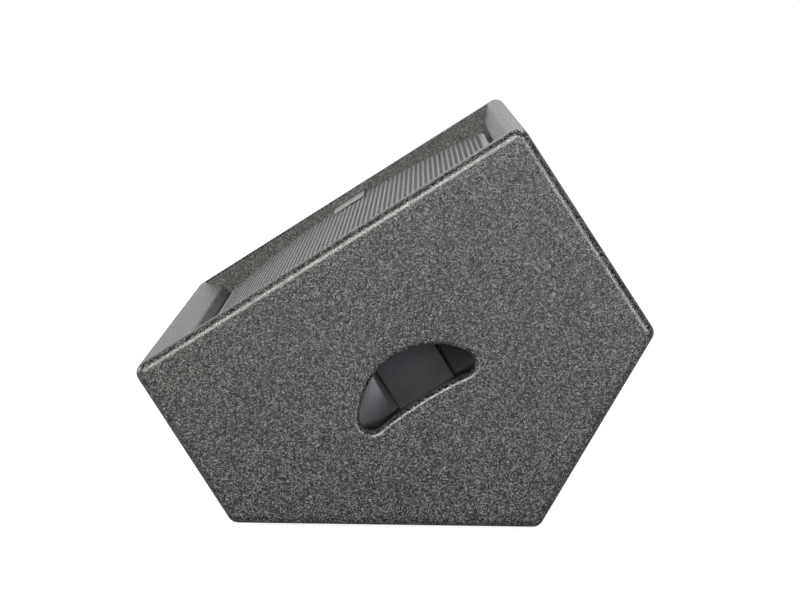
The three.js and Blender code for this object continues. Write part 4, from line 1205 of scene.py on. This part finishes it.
# The finish of each CAD node, by the start of its name. The other nodes are painted.
NODE_FINISHES = {
    "plywood": ["baffle", "centre_brace"],
    "zinc_steel": ["handle_screw", "woofer_top_plate", "woofer_back_plate"],
    "cast_alloy": ["woofer_basket"],
    "ferrite": ["woofer_magnet", "hf_driver_motor"],
    "rubber": ["woofer_gasket", "floor_foot", "end_foot", "woofer_surround"],
    "paper_cone": ["woofer_cone", "woofer_dust_cap"],
    "amber_cloth": ["woofer_spider"],
    "copper": ["woofer_voice_coil", "low_pass_coil", "high_pass_coil"],
    "titanium_dome": ["hf_diaphragm"],
    "circuit_board": ["crossover_board"],
    "film_capacitor": ["capacitor"],
    "ceramic": ["pad_resistor"],
    "lead_sheath": ["input_lead", "woofer_lead", "hf_lead"],
    "wool": ["damping_wadding"],
    "moulded_plastic": [
        "woofer_terminal", "hf_horn", "hf_driver_cover", "port_tube", "connector_dish", "speaker_socket",
        "mode_switch", "mode_knob", "pole_socket", "handle_bowl"],
}


def finish_cad_nodes():
    """Gives every CAD node a procedural finish, also the ones that a piece above stands for."""
    slots = {start: slot for slot, starts in NODE_FINISHES.items() for start in starts}
    for name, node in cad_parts.items():
        slot = next((slots[start] for start in slots if name.startswith(start)), "textured_paint")
        node.data.materials.clear()
        node.data.materials.append(FINISHES[slot].material)


# ---- floor and light


def add_floor():
    bm = bmesh.new()
    bmesh.ops.create_grid(bm, x_segments=8, y_segments=8, size=FLOOR_REACH)
    mesh = mesh_of("studio_floor", bm)
    finish = Finish("studio_floor", grey(FLOOR_SHADE), 0.9)
    finish.shader.inputs["Emission Color"].default_value = (1, 1, 1, 1)
    seen = new_node(finish.nodes, "MapRange", To_Min=0.0, To_Max=FLOOR_GLOW)
    path = new_node(finish.nodes, "LightPath")
    finish.link(path.outputs["Is Camera Ray"], seen.inputs["Value"])
    finish.link(seen.outputs["Result"], finish.shader.inputs["Emission Strength"])
    mesh.materials.append(finish.material)
    floor = new_object("studio_floor", mesh)


def add_softbox(name, azimuth, elevation, distance, width, height, radiance, colour):
    """A rectangular light that faces the object, from some degrees round from +X to +Y and upwards."""
    data = bpy.data.lights.new(name, "AREA")
    data.shape = "RECTANGLE"
    data.size = width
    data.size_y = height
    data.energy = radiance * math.pi * width * height
    data.color = colour
    light = new_object(name, data)
    a, e = math.radians(azimuth), math.radians(elevation)
    towards = Vector((math.cos(e) * math.cos(a), math.cos(e) * math.sin(a), math.sin(e)))
    light.matrix_world = Matrix.Translation(towards * distance + LIGHT_AIM) @ facing(-towards)


def add_world():
    """A white wall behind the object and dim walls elsewhere. The camera sees plain white all round."""
    world = bpy.data.worlds.new("studio")
    bpy.context.scene.world = world
    world.use_nodes = True
    nodes = world.node_tree.nodes
    link = world.node_tree.links.new
    background = nodes["Background"]
    direction = new_node(nodes, "TexCoord")
    parts = new_node(nodes, "SeparateXYZ")
    link(direction.outputs["Generated"], parts.inputs["Vector"])
    wall = new_node(nodes, "MapRange", From_Min=-0.1, From_Max=-0.7, To_Min=DIM_WALL, To_Max=BRIGHT_WALL)
    wall.interpolation_type = "SMOOTHSTEP"
    link(parts.outputs["X"], wall.inputs["Value"])
    path = new_node(nodes, "LightPath")
    seen = new_node(nodes, "Math")
    seen.operation = "MAXIMUM"
    link(wall.outputs["Result"], seen.inputs[0])
    link(path.outputs["Is Camera Ray"], seen.inputs[1])
    link(seen.outputs["Value"], background.inputs["Strength"])
    background.inputs["Color"].default_value = (1, 1, 1, 1)


def add_light():
    add_world()
    for name, values in SOFTBOXES.items():
        add_softbox(name, *values)
    bpy.context.scene.view_settings.view_transform = "Standard"


# ---- assembly

add_camera()
finish_cad_nodes()
end_panel("handle_end_panel", 1, hand_hole, HOLE_ROUNDOVER)
end_panel("pole_end_panel", -1, pole_hole, GAP)
add_boards()
add_grille()
add_badge()
add_foam()
add_hand_bowl()
add_feet()
add_pole_socket()
add_dish()
add_sockets()
add_knob()
add_woofer_suspension()
add_wadding()
add_floor()
add_light()
